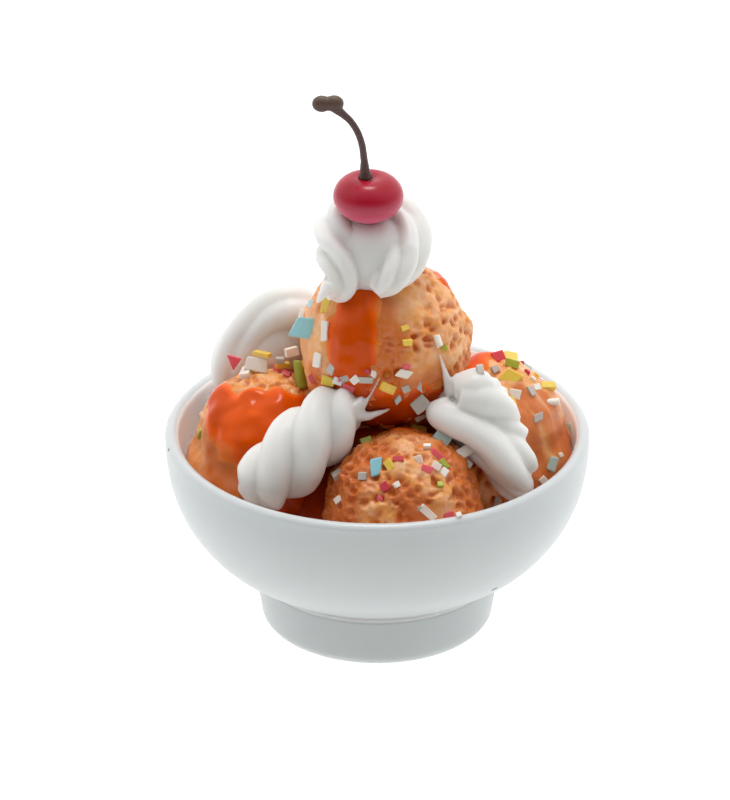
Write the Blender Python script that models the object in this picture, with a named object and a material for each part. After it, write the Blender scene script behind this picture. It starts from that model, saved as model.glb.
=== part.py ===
"""Miniature ice cream sundae for a doll's house.

A moulded footed bowl holds sauce, five scoops of modelling clay with cut clay chips pressed in,
four lengths of piped cream and a cherry on a wire stem. Units are metres, +Z is up and -Y is the
front. The origin is the middle of the foot's flat underside.
"""

import math
import random
from collections import namedtuple

import bmesh
import bpy
from mathutils import Matrix, Vector, noise
from mathutils.bvhtree import BVHTree

MM = 0.001
GAP = 0.3 * MM  # clearance between pieces that touch in the real object
MERGE = 0.001 * MM

# Bowl
RIM_HEIGHT = 12.4 * MM
BOWL_RADIUS = 12.55 * MM
BOWL_DEPTH = 10.1 * MM  # rim down to where the outer curve would close
BOWL_FULLNESS = 2.4  # exponent of the superellipse of the body
WALL = 0.8 * MM
FLOOR_HEIGHT = 2.5 * MM
FOOT_HEIGHT = 3.3 * MM
FOOT_RADIUS = 7.12 * MM
FOOT_TAPER = 0.2 * MM
FOOT_EDGE = 0.75 * MM
BOWL_SEGMENTS = 40
BODY_STEPS = 6
EDGE_STEPS = 3

# Sauce between the scoops: its height at the middle, part of the way out and at the wall
SAUCE_LEVELS = ((0.0, 14.9 * MM), (4.4 * MM, 14.2 * MM), (6.0 * MM, 11.0 * MM), (8.0 * MM, 7.4 * MM))
SAUCE_WALL_LEVEL = 6.8 * MM
SAUCE_LIFT = 0.4 * MM  # how much further the sauce stays above the curved floor
SAUCE_SINK = 0.2 * MM  # drop at which the wall is measured, so that its curve stays clear
SAUCE_SEGMENTS = 32
SAUCE_STEPS = 4

# Scoops: middle, half sizes, noise seed, share by which the lower half spreads, sauce tongues
# (azimuth, half width, lowest elevation, thickness) and how many chips are strewn on the sides
# that nobody placed by hand
Scoop = namedtuple("Scoop", "middle radii seed spread tongues strewn")
SCOOPS = {
    "scoop_top": Scoop(
        (0.45, -0.2, 17.9),
        (4.9, 4.7, 5.4),
        11,
        0.0,
        ((240, 24, -2, 0.35), (325, 14, 55, 0.35), (60, 20, 30, 0.3)),
        5,
    ),
    "scoop_left": Scoop(
        (-6.35, -0.1, 11.3), (4.35, 4.3, 4.35), 23, 0.24, ((225, 55, 28, 0.4), (260, 20, 0, 0.35)), 4
    ),
    "scoop_front": Scoop((1.55, -6.2, 10.5), (4.4, 4.35, 4.4), 37, 0.12, ((90, 40, 40, 0.3),), 0),
    "scoop_right": Scoop((6.75, 1.2, 11.5), (4.4, 4.3, 4.4), 41, 0.22, ((120, 32, 48, 0.7),), 5),
    "scoop_back": Scoop(
        (-0.3, 6.9, 11.2), (4.2, 4.2, 4.2), 59, 0.2, ((250, 50, 35, 0.35), (40, 25, 20, 0.35)), 9
    ),
}
SCOOP_SUBDIVISIONS = 4
SCOOP_KEPT = 0.56  # share of the triangles that thinning leaves
SPREAD_START = 0.1  # sine of the elevation below which a scoop spreads to fill the bowl
SPREAD_RUN = 0.5
LUMP_SIZE = 2.4 * MM
LUMP_HEIGHT = 0.28 * MM
CRAG_SIZE = 0.95 * MM
CRAG_HEIGHT = 0.22 * MM
TONGUE_SOFTNESS = 9  # degrees over which a tongue's edge rises
REACH_STEP = 0.03 * MM  # by which a scoop is cut back until it clears the bowl

# Chips of clay: length, width and thickness, and the number of corners seen from above
CHIP_SIZES = {
    "plate": (1.2 * MM, 1.1 * MM, 0.55 * MM, 4),
    "chip": (0.95 * MM, 0.62 * MM, 0.6 * MM, 4),
    "shard": (1.2 * MM, 1.0 * MM, 0.6 * MM, 3),
    "post": (0.85 * MM, 0.85 * MM, 2.1 * MM, 7),
}
CHIP_TAPER = 0.9
CHIP_SUNK = 0.25 * MM
CHIP_CLEARANCE = 0.15 * MM
CHIP_SAMPLES = 4  # spots tested along each edge of a chip
CHIP_SPACING = 1.3 * MM
STREWN_SEED = 5
STREWN_ELEVATIONS = (12, 72)

# The chips that show from the front: azimuth, elevation, spin and kind
PLACED_CHIPS = {
    "scoop_top": (
        (185, 10, 15, "plate"), (210, 35, 50, "shard"), (215, 5, 70, "chip"), (310, 20, 20, "chip"),
        (285, 5, 120, "chip"), (250, 0, 80, "chip"), (285, 25, 40, "shard"),
    ),
    "scoop_left": (
        (140, 55, 30, "shard"), (110, 60, 100, "chip"), (70, 60, 10, "chip"), (40, 50, 0, "post"),
        (85, 45, 60, "plate"),
    ),
    "scoop_front": (
        (235, 55, 20, "plate"), (255, 40, 70, "shard"), (205, 15, 40, "chip"), (260, 65, 10, "chip"),
        (295, 60, 50, "chip"), (335, 60, 0, "chip"), (320, 50, 90, "chip"), (305, 35, 130, "shard"),
        (290, 20, 30, "chip"), (310, 15, 75, "chip"),
    ),
    "scoop_right": (
        (200, 20, 30, "chip"), (230, 15, 60, "plate"), (245, 5, 110, "chip"), (10, 85, 40, "shard"),
        (0, 70, 80, "chip"), (315, 65, 20, "plate"), (300, 50, 130, "chip"), (350, 25, 50, "chip"),
        (345, 40, 0, "shard"), (285, 70, 95, "chip"),
    ),
    "scoop_back": (),
}

# Piped cream: points along the middle of each rope with its radius there, the ridges round it,
# their depth as a share of the radius, full twists from end to end (left-handed), a ball of cream
# inside the curl (middle and radius), triangles to aim for and the scoops that it rests on
Rope = namedtuple("Rope", "path ridges depth twists heart triangles rests_on")
CREAM_VOXEL = 0.24 * MM
ROPE_SECTION_STEPS = 6  # points for each ridge
ROPE_SMOOTHNESS = 8
CREAM_ROPES = {
    "cream_top": Rope(
        (
            (-0.2, -3.2, 22.9, 0.6), (0.6, -2.8, 23.6, 1.2), (1.3, -1.6, 24.3, 1.6), (1.5, 0.4, 25.1, 1.6),
            (0.1, 1.7, 25.4, 1.8), (-1.8, 0.9, 25.4, 1.65), (-2.2, -0.8, 24.8, 1.6), (-2.0, -2.0, 24.1, 1.5),
            (-2.1, -2.5, 23.2, 1.25), (-2.9, -2.4, 22.4, 0.7),
        ),
        5, 0.34, 1.2, (-0.3, -0.8, 24.1, 2.35), 1050, ("scoop_top",),
    ),
    "cream_front_left": Rope(
        (
            (-7.5, -6.3, 10.9, 0.9), (-6.8, -6.2, 11.7, 1.9), (-5.3, -5.9, 13.1, 2.3),
            (-3.6, -5.3, 14.7, 2.3), (-2.2, -4.6, 15.9, 1.85), (-1.3, -4.1, 16.4, 0.9),
        ),
        3, 0.3, 1.25, None, 880, ("scoop_left", "scoop_front", "scoop_top"),
    ),
    "cream_right": Rope(
        (
            (8.5, -5.4, 10.4, 0.6), (8.1, -5.3, 11.4, 1.2), (7.2, -4.9, 13.0, 1.55),
            (6.2, -4.2, 14.5, 1.9), (5.6, -3.5, 15.7, 2.2), (5.1, -3.1, 16.6, 1.1),
        ),
        5, 0.42, 0.45, (4.3, -3.5, 15.7, 1.1), 900, ("scoop_right", "scoop_front", "scoop_top"),
    ),
    "cream_back_left": Rope(
        (
            (-7.4, 5.2, 10.6, 0.9), (-8.2, 4.9, 12.3, 1.4), (-8.4, 4.2, 14.4, 1.6), (-7.2, 4.3, 16.6, 1.7),
            (-5.3, 4.5, 17.7, 1.8), (-3.9, 4.4, 17.0, 1.6), (-3.8, 3.9, 15.2, 1.0), (-5.2, 3.3, 14.7, 0.5),
        ),
        5, 0.14, 0.4, (-5.9, 4.6, 15.7, 2.4), 850, ("scoop_left", "scoop_back", "scoop_top"),
    ),
}

# Cherry and stem
CHERRY_MIDDLE = Vector((-0.53, -0.6, 27.8)) * MM
CHERRY_RADIUS = 2.05 * MM
CHERRY_HALF_HEIGHT = 1.5 * MM
DIMPLE_WIDTH = 0.42  # radians from the pole
DIMPLE_DEPTH = 0.3
CHERRY_SEGMENTS = 20
CHERRY_STEPS = 10
STEM_POINTS = (
    (-0.69, 29.25, 1.8), (-0.73, 29.6, 1.3), (-0.78, 30.2, 1.1), (-1.0, 31.45, 1.05),
    (-1.5, 32.48, 1.05), (-1.95, 32.96, 1.15), (-2.4, 33.35, 1.5),
)
STEM_RADIUS = 0.2 * MM
STEM_KNOB = ((-2.5, 33.68), (-3.22, 33.66))
KNOB_RADIUS = 0.5 * MM
KNOB_STRETCH = (1.15, 0.9, 1.0)

# Colours, linear RGB
BOWL_WHITE = (0.67, 0.69, 0.68)
CLAY_APRICOT = (0.85, 0.42, 0.2)
SAUCE_ORANGE = (0.8, 0.14, 0.01)
CREAM_WHITE = (0.85, 0.83, 0.8)
CHERRY_RED = (0.45, 0.02, 0.06)
STEM_BROWN = (0.1, 0.04, 0.03)


def clear_scene():
    for old in list(bpy.data.objects):
        bpy.data.objects.remove(old)


def material(name, colour, roughness, coat=0.0):
    """A Principled material from a linear RGB colour."""
    made = bpy.data.materials.new(name)
    made.use_nodes = True
    shader = made.node_tree.nodes["Principled BSDF"]
    shader.inputs["Base Color"].default_value = (*colour, 1.0)
    shader.inputs["Roughness"].default_value = roughness
    shader.inputs["Metallic"].default_value = 0.0
    shader.inputs["Coat Weight"].default_value = coat
    made.diffuse_color = (*colour, 1.0)
    return made


def new_object(name, mesh, finish=None):
    made = bpy.data.objects.new(name, mesh)
    bpy.context.scene.collection.objects.link(made)
    if finish:
        mesh.materials.clear()
        mesh.materials.append(finish)
    return made


def mesh_from(bm, name):
    """Closes the seams, turns every face outwards and hands back the mesh."""
    bmesh.ops.remove_doubles(bm, verts=bm.verts, dist=MERGE)
    bmesh.ops.recalc_face_normals(bm, faces=bm.faces)
    mesh = bpy.data.meshes.new(name)
    bm.to_mesh(mesh)
    bm.free()
    return mesh


def smooth(piece, angle=35):
    piece.data.shade_smooth()
    piece.data.set_sharp_from_angle(angle=math.radians(angle))


def turned(name, outline, segments):
    """A closed solid from an outline of (radius, height) that starts and ends on the axis."""
    bm = bmesh.new()
    corners = [bm.verts.new((radius, 0, height)) for radius, height in outline]
    edges = [bm.edges.new(pair) for pair in zip(corners, corners[1:])]
    turn = {"cent": (0, 0, 0), "axis": (0, 0, 1), "angle": math.tau}
    bmesh.ops.spin(bm, geom=corners + edges, steps=segments, use_merge=True, **turn)
    return mesh_from(bm, name)


def freeze(piece):
    """Applies the modifiers of an object and drops them."""
    graph = bpy.context.evaluated_depsgraph_get()
    mesh = bpy.data.meshes.new_from_object(piece.evaluated_get(graph))
    piece.modifiers.clear()
    piece.data = mesh


def boolean(piece, operation, others):
    """One Boolean with several meshes, applied. The others are removed afterwards."""
    tools = bpy.data.collections.new(piece.name + "_tools")
    bpy.context.scene.collection.children.link(tools)
    for other in others:
        bpy.context.scene.collection.objects.unlink(other)
        tools.objects.link(other)
    modifier = piece.modifiers.new(operation.title(), "BOOLEAN")
    modifier.operation = operation
    modifier.operand_type = "COLLECTION"
    modifier.collection = tools
    freeze(piece)
    for other in others:
        bpy.data.objects.remove(other)
    bpy.data.collections.remove(tools)


def keep_largest_body(piece):
    """Drops the loose scraps that a cut leaves."""
    bm = bmesh.new()
    bm.from_mesh(piece.data)
    unseen = set(bm.verts)
    bodies = []
    while unseen:
        stack = [unseen.pop()]
        body = list(stack)
        while stack:
            for edge in stack.pop().link_edges:
                for corner in edge.verts:
                    if corner in unseen:
                        unseen.remove(corner)
                        stack.append(corner)
                        body.append(corner)
        bodies.append(body)
    bodies.sort(key=len)
    for body in bodies[:-1]:
        bmesh.ops.delete(bm, geom=body, context="VERTS")
    bm.to_mesh(piece.data)
    bm.free()


def thin(piece, kept):
    modifier = piece.modifiers.new("Decimate", "DECIMATE")
    modifier.ratio = kept
    freeze(piece)


def arc(middle_radius, middle_height, radius, first, last, steps):
    """Points round a circle in the outline's plane, from one angle in degrees to another."""
    points = []
    for step in range(steps + 1):
        angle = math.radians(first + (last - first) * step / steps)
        points.append((middle_radius + radius * math.cos(angle), middle_height + radius * math.sin(angle)))
    return points


def body_radius(height, radius, depth):
    """Radius of a superellipse at a height, for the outside or the inside of the bowl."""
    drop = min(max((RIM_HEIGHT - height) / depth, 0.0), 1.0)
    return radius * (1 - drop**BOWL_FULLNESS) ** (1 / BOWL_FULLNESS)


def inside_radius(height):
    """Radius of the hollow at a height."""
    return body_radius(height, BOWL_RADIUS - WALL, RIM_HEIGHT - FLOOR_HEIGHT)


def make_bowl():
    lip = WALL / 2
    lip_height = RIM_HEIGHT - lip
    outline = [(0, 0)]
    outline += arc(FOOT_RADIUS - FOOT_TAPER - FOOT_EDGE, FOOT_EDGE, FOOT_EDGE, -90, 0, EDGE_STEPS)
    outline.append((FOOT_RADIUS, FOOT_HEIGHT))
    for step in range(BODY_STEPS):
        share = math.sin(math.radians(90 * step / BODY_STEPS))
        height = FOOT_HEIGHT + (lip_height - FOOT_HEIGHT) * share
        outline.append((body_radius(height, BOWL_RADIUS, BOWL_DEPTH), height + MERGE))
    outline += arc(BOWL_RADIUS - lip, lip_height, lip, 0, 180, 2 * EDGE_STEPS)
    for step in range(1, BODY_STEPS + 1):
        angle = math.radians(90 * step / (BODY_STEPS + 1))
        height = FLOOR_HEIGHT + (lip_height - FLOOR_HEIGHT) * (1 - math.sin(angle))
        outline.append((inside_radius(height), height))
    outline.append((0, FLOOR_HEIGHT))
    finish = material("white bowl", BOWL_WHITE, 0.3)
    bowl = new_object("bowl", turned("bowl", outline, BOWL_SEGMENTS), finish)
    smooth(bowl)


def sauce_outline(extra):
    """Outline of the sauce before the scoops press into it, grown by a clearance."""
    outline = [(0, FLOOR_HEIGHT + GAP - extra)]
    bottom = FLOOR_HEIGHT + GAP + SAUCE_LIFT
    for step in range(SAUCE_STEPS + 1):
        height = bottom + (SAUCE_WALL_LEVEL - bottom) * step / SAUCE_STEPS
        outline.append((inside_radius(height - SAUCE_SINK) - GAP + extra, height))
    outline[-1] = (outline[-1][0], outline[-1][1] + extra)
    for radius, height in reversed(SAUCE_LEVELS):
        outline.append((radius, height + extra))
    return outline


def direction_of(azimuth, elevation):
    turn = math.radians(azimuth)
    rise = math.radians(elevation)
    return Vector((math.cos(turn) * math.cos(rise), math.sin(turn) * math.cos(rise), math.sin(rise)))


def smooth_step(value):
    value = min(max(value, 0.0), 1.0)
    return value * value * (3 - 2 * value)


def plain_reach(scoop, direction):
    """Distance from a scoop's middle to its smooth surface."""
    squares = sum((along / radius) ** 2 for along, radius in zip(direction, scoop.radii))
    spread = scoop.spread * smooth_step((SPREAD_START - direction.z) / SPREAD_RUN)
    return (1 + spread) * MM / math.sqrt(squares)


def tongue_height(scoop, direction):
    """Thickness of the sauce that runs down a scoop, in metres."""
    azimuth = math.degrees(math.atan2(direction.y, direction.x))
    elevation = math.degrees(math.asin(max(-1.0, min(1.0, direction.z))))
    height = 0.0
    for middle, half_width, lowest, thickness in scoop.tongues:
        aside = abs((azimuth - middle + 180) % 360 - 180) * math.cos(math.radians(elevation))
        across = smooth_step((half_width - aside) / TONGUE_SOFTNESS)
        down = smooth_step((elevation - lowest) / TONGUE_SOFTNESS)
        height = max(height, across * down * thickness * MM)
    return height


def in_bowl(point):
    """True where a point is clear of the bowl's wall and floor."""
    if point.z > RIM_HEIGHT + GAP:
        return True
    if point.z < FLOOR_HEIGHT + GAP:
        return False
    return math.hypot(point.x, point.y) < inside_radius(min(point.z, RIM_HEIGHT)) - GAP


def scoop_reach(name, direction, extra=0.0):
    """Distance from a scoop's middle to its lumpy surface, pressed flat where it meets its neighbours."""
    scoop = SCOOPS[name]
    reach = plain_reach(scoop, direction)
    spot = direction * reach
    shift = Vector((scoop.seed, -scoop.seed, 2 * scoop.seed))
    reach += LUMP_HEIGHT * noise.noise(spot / LUMP_SIZE + shift)
    reach += CRAG_HEIGHT * noise.noise(spot / CRAG_SIZE + shift)
    reach += tongue_height(scoop, direction)
    for other in SCOOPS.values():
        if other is scoop:
            continue
        between = (Vector(other.middle) - Vector(scoop.middle)) * MM
        towards = between.normalized()
        own = plain_reach(scoop, towards)
        face = between.length * own / (own + plain_reach(other, -towards)) - GAP / 2
        if direction.dot(towards) > 0.2:
            reach = min(reach, face / direction.dot(towards))
    middle = Vector(scoop.middle) * MM
    while not in_bowl(middle + direction * reach):
        reach -= REACH_STEP
    return reach + extra


def make_scoop(name, extra=0.0, finish=None):
    bm = bmesh.new()
    bmesh.ops.create_icosphere(bm, subdivisions=SCOOP_SUBDIVISIONS, radius=1.0)
    for corner in bm.verts:
        direction = corner.co.normalized()
        corner.co = direction * scoop_reach(name, direction, extra)
    scoop = new_object(name + ("_room" if extra else ""), mesh_from(bm, name), finish)
    scoop.location = Vector(SCOOPS[name].middle) * MM
    bpy.context.view_layer.update()
    if not extra:
        thin(scoop, SCOOP_KEPT)
    return scoop


def make_sauce(finish):
    sauce = new_object("sauce_pool", turned("sauce_pool", sauce_outline(0.0), SAUCE_SEGMENTS), finish)
    balls = []
    for name, scoop in SCOOPS.items():
        bm = bmesh.new()
        bmesh.ops.create_icosphere(bm, subdivisions=3, radius=1.0)
        allowance = GAP + LUMP_HEIGHT
        for corner in bm.verts:
            corner.co = corner.co.normalized() * (plain_reach(scoop, corner.co.normalized()) + allowance)
        ball = new_object(name + "_ball", mesh_from(bm, name))
        ball.location = Vector(scoop.middle) * MM
        balls.append(ball)
    bpy.context.view_layer.update()
    boolean(sauce, "DIFFERENCE", balls)
    keep_largest_body(sauce)
    smooth(sauce)


def star_section(ridges, depth):
    """A closed curve across a rope: round ridges with sharp creases between them."""
    curve = bpy.data.curves.new("star_section", "CURVE")
    spline = curve.splines.new("POLY")
    count = ridges * ROPE_SECTION_STEPS
    spline.points.add(count - 1)
    for index, point in enumerate(spline.points):
        angle = math.tau * index / count
        radius = 1 - depth + depth * abs(math.cos(angle * ridges / 2))
        point.co = (radius * math.cos(angle), radius * math.sin(angle), 0, 1)
    spline.use_cyclic_u = True
    return bpy.data.objects.new("star_section", curve)


def rope_mesh(name, rope):
    """The rope as a curve whose section twists and swells along it, turned into a mesh."""
    curve = bpy.data.curves.new(name, "CURVE")
    curve.dimensions = "3D"
    curve.resolution_u = ROPE_SMOOTHNESS
    section = star_section(rope.ridges, rope.depth)
    curve.bevel_mode = "OBJECT"
    curve.bevel_object = section
    curve.use_fill_caps = True
    spline = curve.splines.new("BEZIER")
    spline.bezier_points.add(len(rope.path) - 1)
    for index, (point, (x, y, z, radius)) in enumerate(zip(spline.bezier_points, rope.path)):
        point.co = Vector((x, y, z)) * MM
        point.handle_left_type = "AUTO"
        point.handle_right_type = "AUTO"
        point.radius = radius * MM
        point.tilt = -math.tau * rope.twists * index / (len(rope.path) - 1)
    guide = new_object(name + "_guide", curve)
    graph = bpy.context.evaluated_depsgraph_get()
    mesh = bpy.data.meshes.new_from_object(guide.evaluated_get(graph))
    bpy.data.objects.remove(guide)
    bpy.data.objects.remove(section)
    bm = bmesh.new()
    bm.from_mesh(mesh)
    if rope.heart:
        middle = Matrix.Translation(Vector(rope.heart[:3]) * MM)
        bmesh.ops.create_icosphere(bm, subdivisions=3, radius=rope.heart[3] * MM, matrix=middle)
    return mesh_from(bm, name)


def make_cream(name, rope, finish):
    """A piped rope, fused where it lies on itself and cut round what it rests on."""
    cream = new_object(name, rope_mesh(name, rope))
    remesh = cream.modifiers.new("Remesh", "REMESH")
    remesh.mode = "VOXEL"
    remesh.voxel_size = CREAM_VOXEL
    freeze(cream)
    thin(cream, rope.triangles / (2 * len(cream.data.polygons)))
    rooms = [make_scoop(support, GAP) for support in rope.rests_on]
    if name == "cream_top":
        rooms.append(new_object("cherry_room", cherry_mesh(GAP)))
        rooms[-1].location = CHERRY_MIDDLE
    else:
        rooms.append(new_object("sauce_room", turned("sauce_room", sauce_outline(GAP), SAUCE_SEGMENTS)))
    bpy.context.view_layer.update()
    boolean(cream, "DIFFERENCE", rooms)
    keep_largest_body(cream)
    cream.data.materials.clear()
    cream.data.materials.append(finish)
    smooth(cream, 50)


def cherry_mesh(extra=0.0):
    """A flattened ball with a dimple where the stem goes in, grown by a clearance."""
    outline = []
    for step in range(CHERRY_STEPS + 1):
        angle = math.pi * step / CHERRY_STEPS
        from_pole = math.pi - angle
        size = 1 - DIMPLE_DEPTH * math.exp(-((from_pole / DIMPLE_WIDTH) ** 2))
        radius = (CHERRY_RADIUS * size + extra) * math.sin(angle)
        height = -(CHERRY_HALF_HEIGHT * size + extra) * math.cos(angle)
        outline.append((radius, height))
    outline[0] = (0, outline[0][1])
    outline[-1] = (0, outline[-1][1])
    return turned("cherry", outline, CHERRY_SEGMENTS)


def make_cherry():
    cherry = new_object("cherry", cherry_mesh(), material("cherry red", CHERRY_RED, 0.28, 0.4))
    cherry.location = CHERRY_MIDDLE
    smooth(cherry)


def make_stem():
    """A painted wire, thicker where it goes into the cherry, with a two-lobed knob at its tip."""
    curve = bpy.data.curves.new("cherry_stem", "CURVE")
    curve.dimensions = "3D"
    curve.resolution_u = 2
    curve.bevel_depth = STEM_RADIUS
    curve.bevel_resolution = 1
    curve.use_fill_caps = True
    spline = curve.splines.new("BEZIER")
    spline.bezier_points.add(len(STEM_POINTS) - 1)
    for point, (x, z, swell) in zip(spline.bezier_points, STEM_POINTS):
        point.co = Vector((x * MM, CHERRY_MIDDLE.y, z * MM))
        point.handle_left_type = "AUTO"
        point.handle_right_type = "AUTO"
        point.radius = swell
    guide = new_object("stem_guide", curve)
    graph = bpy.context.evaluated_depsgraph_get()
    mesh = bpy.data.meshes.new_from_object(guide.evaluated_get(graph))
    bpy.data.objects.remove(guide)
    bm = bmesh.new()
    bm.from_mesh(mesh)
    finish = material("stem brown", STEM_BROWN, 0.5)
    stem = new_object("cherry_stem", mesh_from(bm, "cherry_stem"), finish)
    lobes = []
    for index, (x, z) in enumerate(STEM_KNOB):
        bm = bmesh.new()
        bmesh.ops.create_icosphere(bm, subdivisions=2, radius=KNOB_RADIUS)
        bmesh.ops.scale(bm, vec=KNOB_STRETCH, verts=bm.verts)
        lobe = new_object(f"knob_{index}", mesh_from(bm, "knob"))
        lobe.location = (x * MM, CHERRY_MIDDLE.y, z * MM)
        lobes.append(lobe)
    bpy.context.view_layer.update()
    boolean(stem, "UNION", lobes)
    smooth(stem)


def chip_mesh(kind):
    """A block with the corners of its kind, its base on the XY plane."""
    length, width, thickness, corners = CHIP_SIZES[kind]
    bm = bmesh.new()
    base = math.sqrt(0.5)
    top = CHIP_TAPER * base
    bmesh.ops.create_cone(bm, cap_ends=True, segments=corners, radius1=base, radius2=top, depth=1.0)
    if corners == 4:
        bmesh.ops.rotate(bm, matrix=Matrix.Rotation(math.radians(45), 3, "Z"), verts=bm.verts)
    bmesh.ops.scale(bm, vec=(length, width, thickness), verts=bm.verts)
    bmesh.ops.translate(bm, vec=(0, 0, thickness / 2), verts=bm.verts)
    return mesh_from(bm, kind)


def place_chip(name, azimuth, elevation, spin, kind):
    """A chip standing out of a scoop, its base sunk under the surface."""
    direction = direction_of(azimuth, elevation)
    spot = Vector(SCOOPS[name].middle) * MM + direction * (scoop_reach(name, direction) - CHIP_SUNK)
    chip = new_object(f"{name}_{kind}_{azimuth:.0f}_{elevation:.0f}", chip_mesh(kind))
    chip.location = spot
    outward = direction.to_track_quat("Z", "Y").to_matrix()
    chip.rotation_euler = (outward @ Matrix.Rotation(math.radians(spin), 3, "Z")).to_euler()
    bpy.context.view_layer.update()
    return chip


def strewn_chips(name, draw):
    """Random places for the chips on the sides that the front view doesn't show."""
    places = []
    kinds = ("chip", "chip", "shard", "plate")
    while len(places) < SCOOPS[name].strewn:
        azimuth = draw.uniform(10, 190)
        elevation = draw.uniform(*STREWN_ELEVATIONS)
        places.append((azimuth, elevation, draw.uniform(0, 180), draw.choice(kinds)))
    return places


def is_clear(chip, walls, used):
    """True where a chip keeps its distance from every other piece and from the chips before it."""
    if any((chip.location - other).length < CHIP_SPACING for other in used):
        return False
    spots = []
    for edge in chip.data.edges:
        first, last = (chip.matrix_world @ chip.data.vertices[index].co for index in edge.vertices)
        spots += [first.lerp(last, step / CHIP_SAMPLES) for step in range(CHIP_SAMPLES + 1)]
    if not all(in_bowl(spot) for spot in spots):
        return False
    return all(wall.find_nearest(spot)[3] > CHIP_CLEARANCE for wall in walls for spot in spots)


def world_tree(piece):
    """A search tree of a piece's faces in world space."""
    corners = [piece.matrix_world @ corner.co for corner in piece.data.vertices]
    faces = [tuple(face.vertices) for face in piece.data.polygons]
    return BVHTree.FromPolygons(corners, faces)


def fuse_chips(name, pieces, draw):
    """Joins to a scoop its chips that are clear of everything else."""
    walls = [world_tree(piece) for other, piece in pieces.items() if other != name]
    kept = []
    used = []
    for place in PLACED_CHIPS[name] + tuple(strewn_chips(name, draw)):
        chip = place_chip(name, *place)
        if is_clear(chip, walls, used):
            kept.append(chip)
            used.append(chip.location.copy())
        else:
            bpy.data.objects.remove(chip)
    boolean(pieces[name], "UNION", kept)
    keep_largest_body(pieces[name])
    smooth(pieces[name], 50)


def main():
    clear_scene()
    clay = material("apricot clay", CLAY_APRICOT, 0.6)
    sauce = material("orange sauce", SAUCE_ORANGE, 0.12, 0.8)
    white = material("cream white", CREAM_WHITE, 0.4)
    make_bowl()
    make_sauce(sauce)
    for name in SCOOPS:
        make_scoop(name, finish=clay.copy())
    for name, rope in CREAM_ROPES.items():
        make_cream(name, rope, white.copy())
    make_cherry()
    make_stem()
    pieces = {piece.name: piece for piece in bpy.context.scene.objects}
    draw = random.Random(STREWN_SEED)
    for name in SCOOPS:
        fuse_chips(name, pieces, draw)


main()
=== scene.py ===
"""Looks of the miniature ice cream sundae: clay scoops, resin sauce, piped cream and cut clay
sprinkles in a moulded bowl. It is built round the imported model, in metres, with -Y as the front.
"""

import math
import random
from collections import namedtuple

import bpy
from mathutils import Matrix, Vector, noise
from mathutils.bvhtree import BVHTree


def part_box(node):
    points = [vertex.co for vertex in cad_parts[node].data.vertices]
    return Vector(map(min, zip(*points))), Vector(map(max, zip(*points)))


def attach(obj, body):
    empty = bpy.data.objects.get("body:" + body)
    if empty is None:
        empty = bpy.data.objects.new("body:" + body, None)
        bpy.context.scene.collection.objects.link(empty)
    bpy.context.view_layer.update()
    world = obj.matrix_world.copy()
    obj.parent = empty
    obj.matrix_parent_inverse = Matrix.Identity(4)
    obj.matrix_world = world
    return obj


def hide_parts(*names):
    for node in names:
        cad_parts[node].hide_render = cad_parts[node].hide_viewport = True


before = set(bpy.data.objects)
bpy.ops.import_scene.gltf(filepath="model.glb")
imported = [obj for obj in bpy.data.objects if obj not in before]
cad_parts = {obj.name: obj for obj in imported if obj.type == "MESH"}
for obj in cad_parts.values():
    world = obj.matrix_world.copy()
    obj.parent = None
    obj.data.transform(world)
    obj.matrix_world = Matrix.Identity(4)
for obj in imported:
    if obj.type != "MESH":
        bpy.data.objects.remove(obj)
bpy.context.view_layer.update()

# Camera. The photo looks down on the bowl from the front, from far enough away to look flat.
# The aim and the scale put the rim and the foot of the bowl where the photo has them.
MM = 0.001
PHOTO_WIDTH = 730
PHOTO_HEIGHT = 800
DOTS_PER_MM = 16.92
CAMERA_RISE = math.radians(27)
CAMERA_AIM = Vector((-0.725, 0.94, 13.74)) * MM
CAMERA_DISTANCE = 400 * MM
SENSOR = 36

camera = bpy.data.objects.new("camera", bpy.data.cameras.new("camera"))
bpy.context.scene.collection.objects.link(camera)
bpy.context.scene.camera = camera
to_camera = Vector((0, -math.cos(CAMERA_RISE), math.sin(CAMERA_RISE)))
camera.location = CAMERA_AIM + to_camera * CAMERA_DISTANCE
camera.rotation_euler = (math.radians(90) - CAMERA_RISE, 0, 0)
dots_away = DOTS_PER_MM * CAMERA_DISTANCE / MM
camera.data.sensor_fit = "VERTICAL"
camera.data.sensor_height = SENSOR
camera.data.lens = SENSOR * dots_away / PHOTO_HEIGHT
camera.data.clip_start = CAMERA_DISTANCE / 10
camera.data.clip_end = CAMERA_DISTANCE * 10
image_up = Vector((0, math.sin(CAMERA_RISE), math.cos(CAMERA_RISE)))
image_right = Vector((1, 0, 0))
bpy.context.scene.view_settings.view_transform = "Standard"


def line_of_sight(across, down):
    """The direction in which the camera sees a dot of the photo."""
    aside = image_right * (across - PHOTO_WIDTH / 2) + image_up * (PHOTO_HEIGHT / 2 - down)
    return (aside - to_camera * dots_away).normalized()


# Bowl. It is cast in white resin and tumbled, so it has a satin skin with soft, faint waves, a
# rounded lip and a short foot that tapers down. Two specks of dirt stick to it.
RIM_HEIGHT = 12.4 * MM
BOWL_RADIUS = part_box("bowl")[1].x
BOWL_DEPTH = 10.1 * MM
BOWL_FULLNESS = 2.4
WALL = 0.8 * MM
FLOOR_HEIGHT = 2.5 * MM
FOOT_HEIGHT = 3.3 * MM
FOOT_RADIUS = 7.25 * MM
FOOT_TAPER = 0.35 * MM
FOOT_EDGE = 0.75 * MM
FOOT_LEDGE = 0.3 * MM
# Half the height of the band round the foot joint that is painted whiter, as a painted highlight
JOINT_PAINTED_HIGHLIGHT = 0.14 * MM
BOWL_WHITE = "#c8cccb"
BOWL_SHADE = "#c3c7c6"
# Inside of the bowl, painted whiter than the outside as painted light
BOWL_INSIDE_PAINTED_LIGHT = "#fbfaf7"
DIRT = "#3b3029"
DIRT_SPECKS = ((494.5, 589, 0.26 * MM), (168.5, 450, 0.13 * MM))


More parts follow.
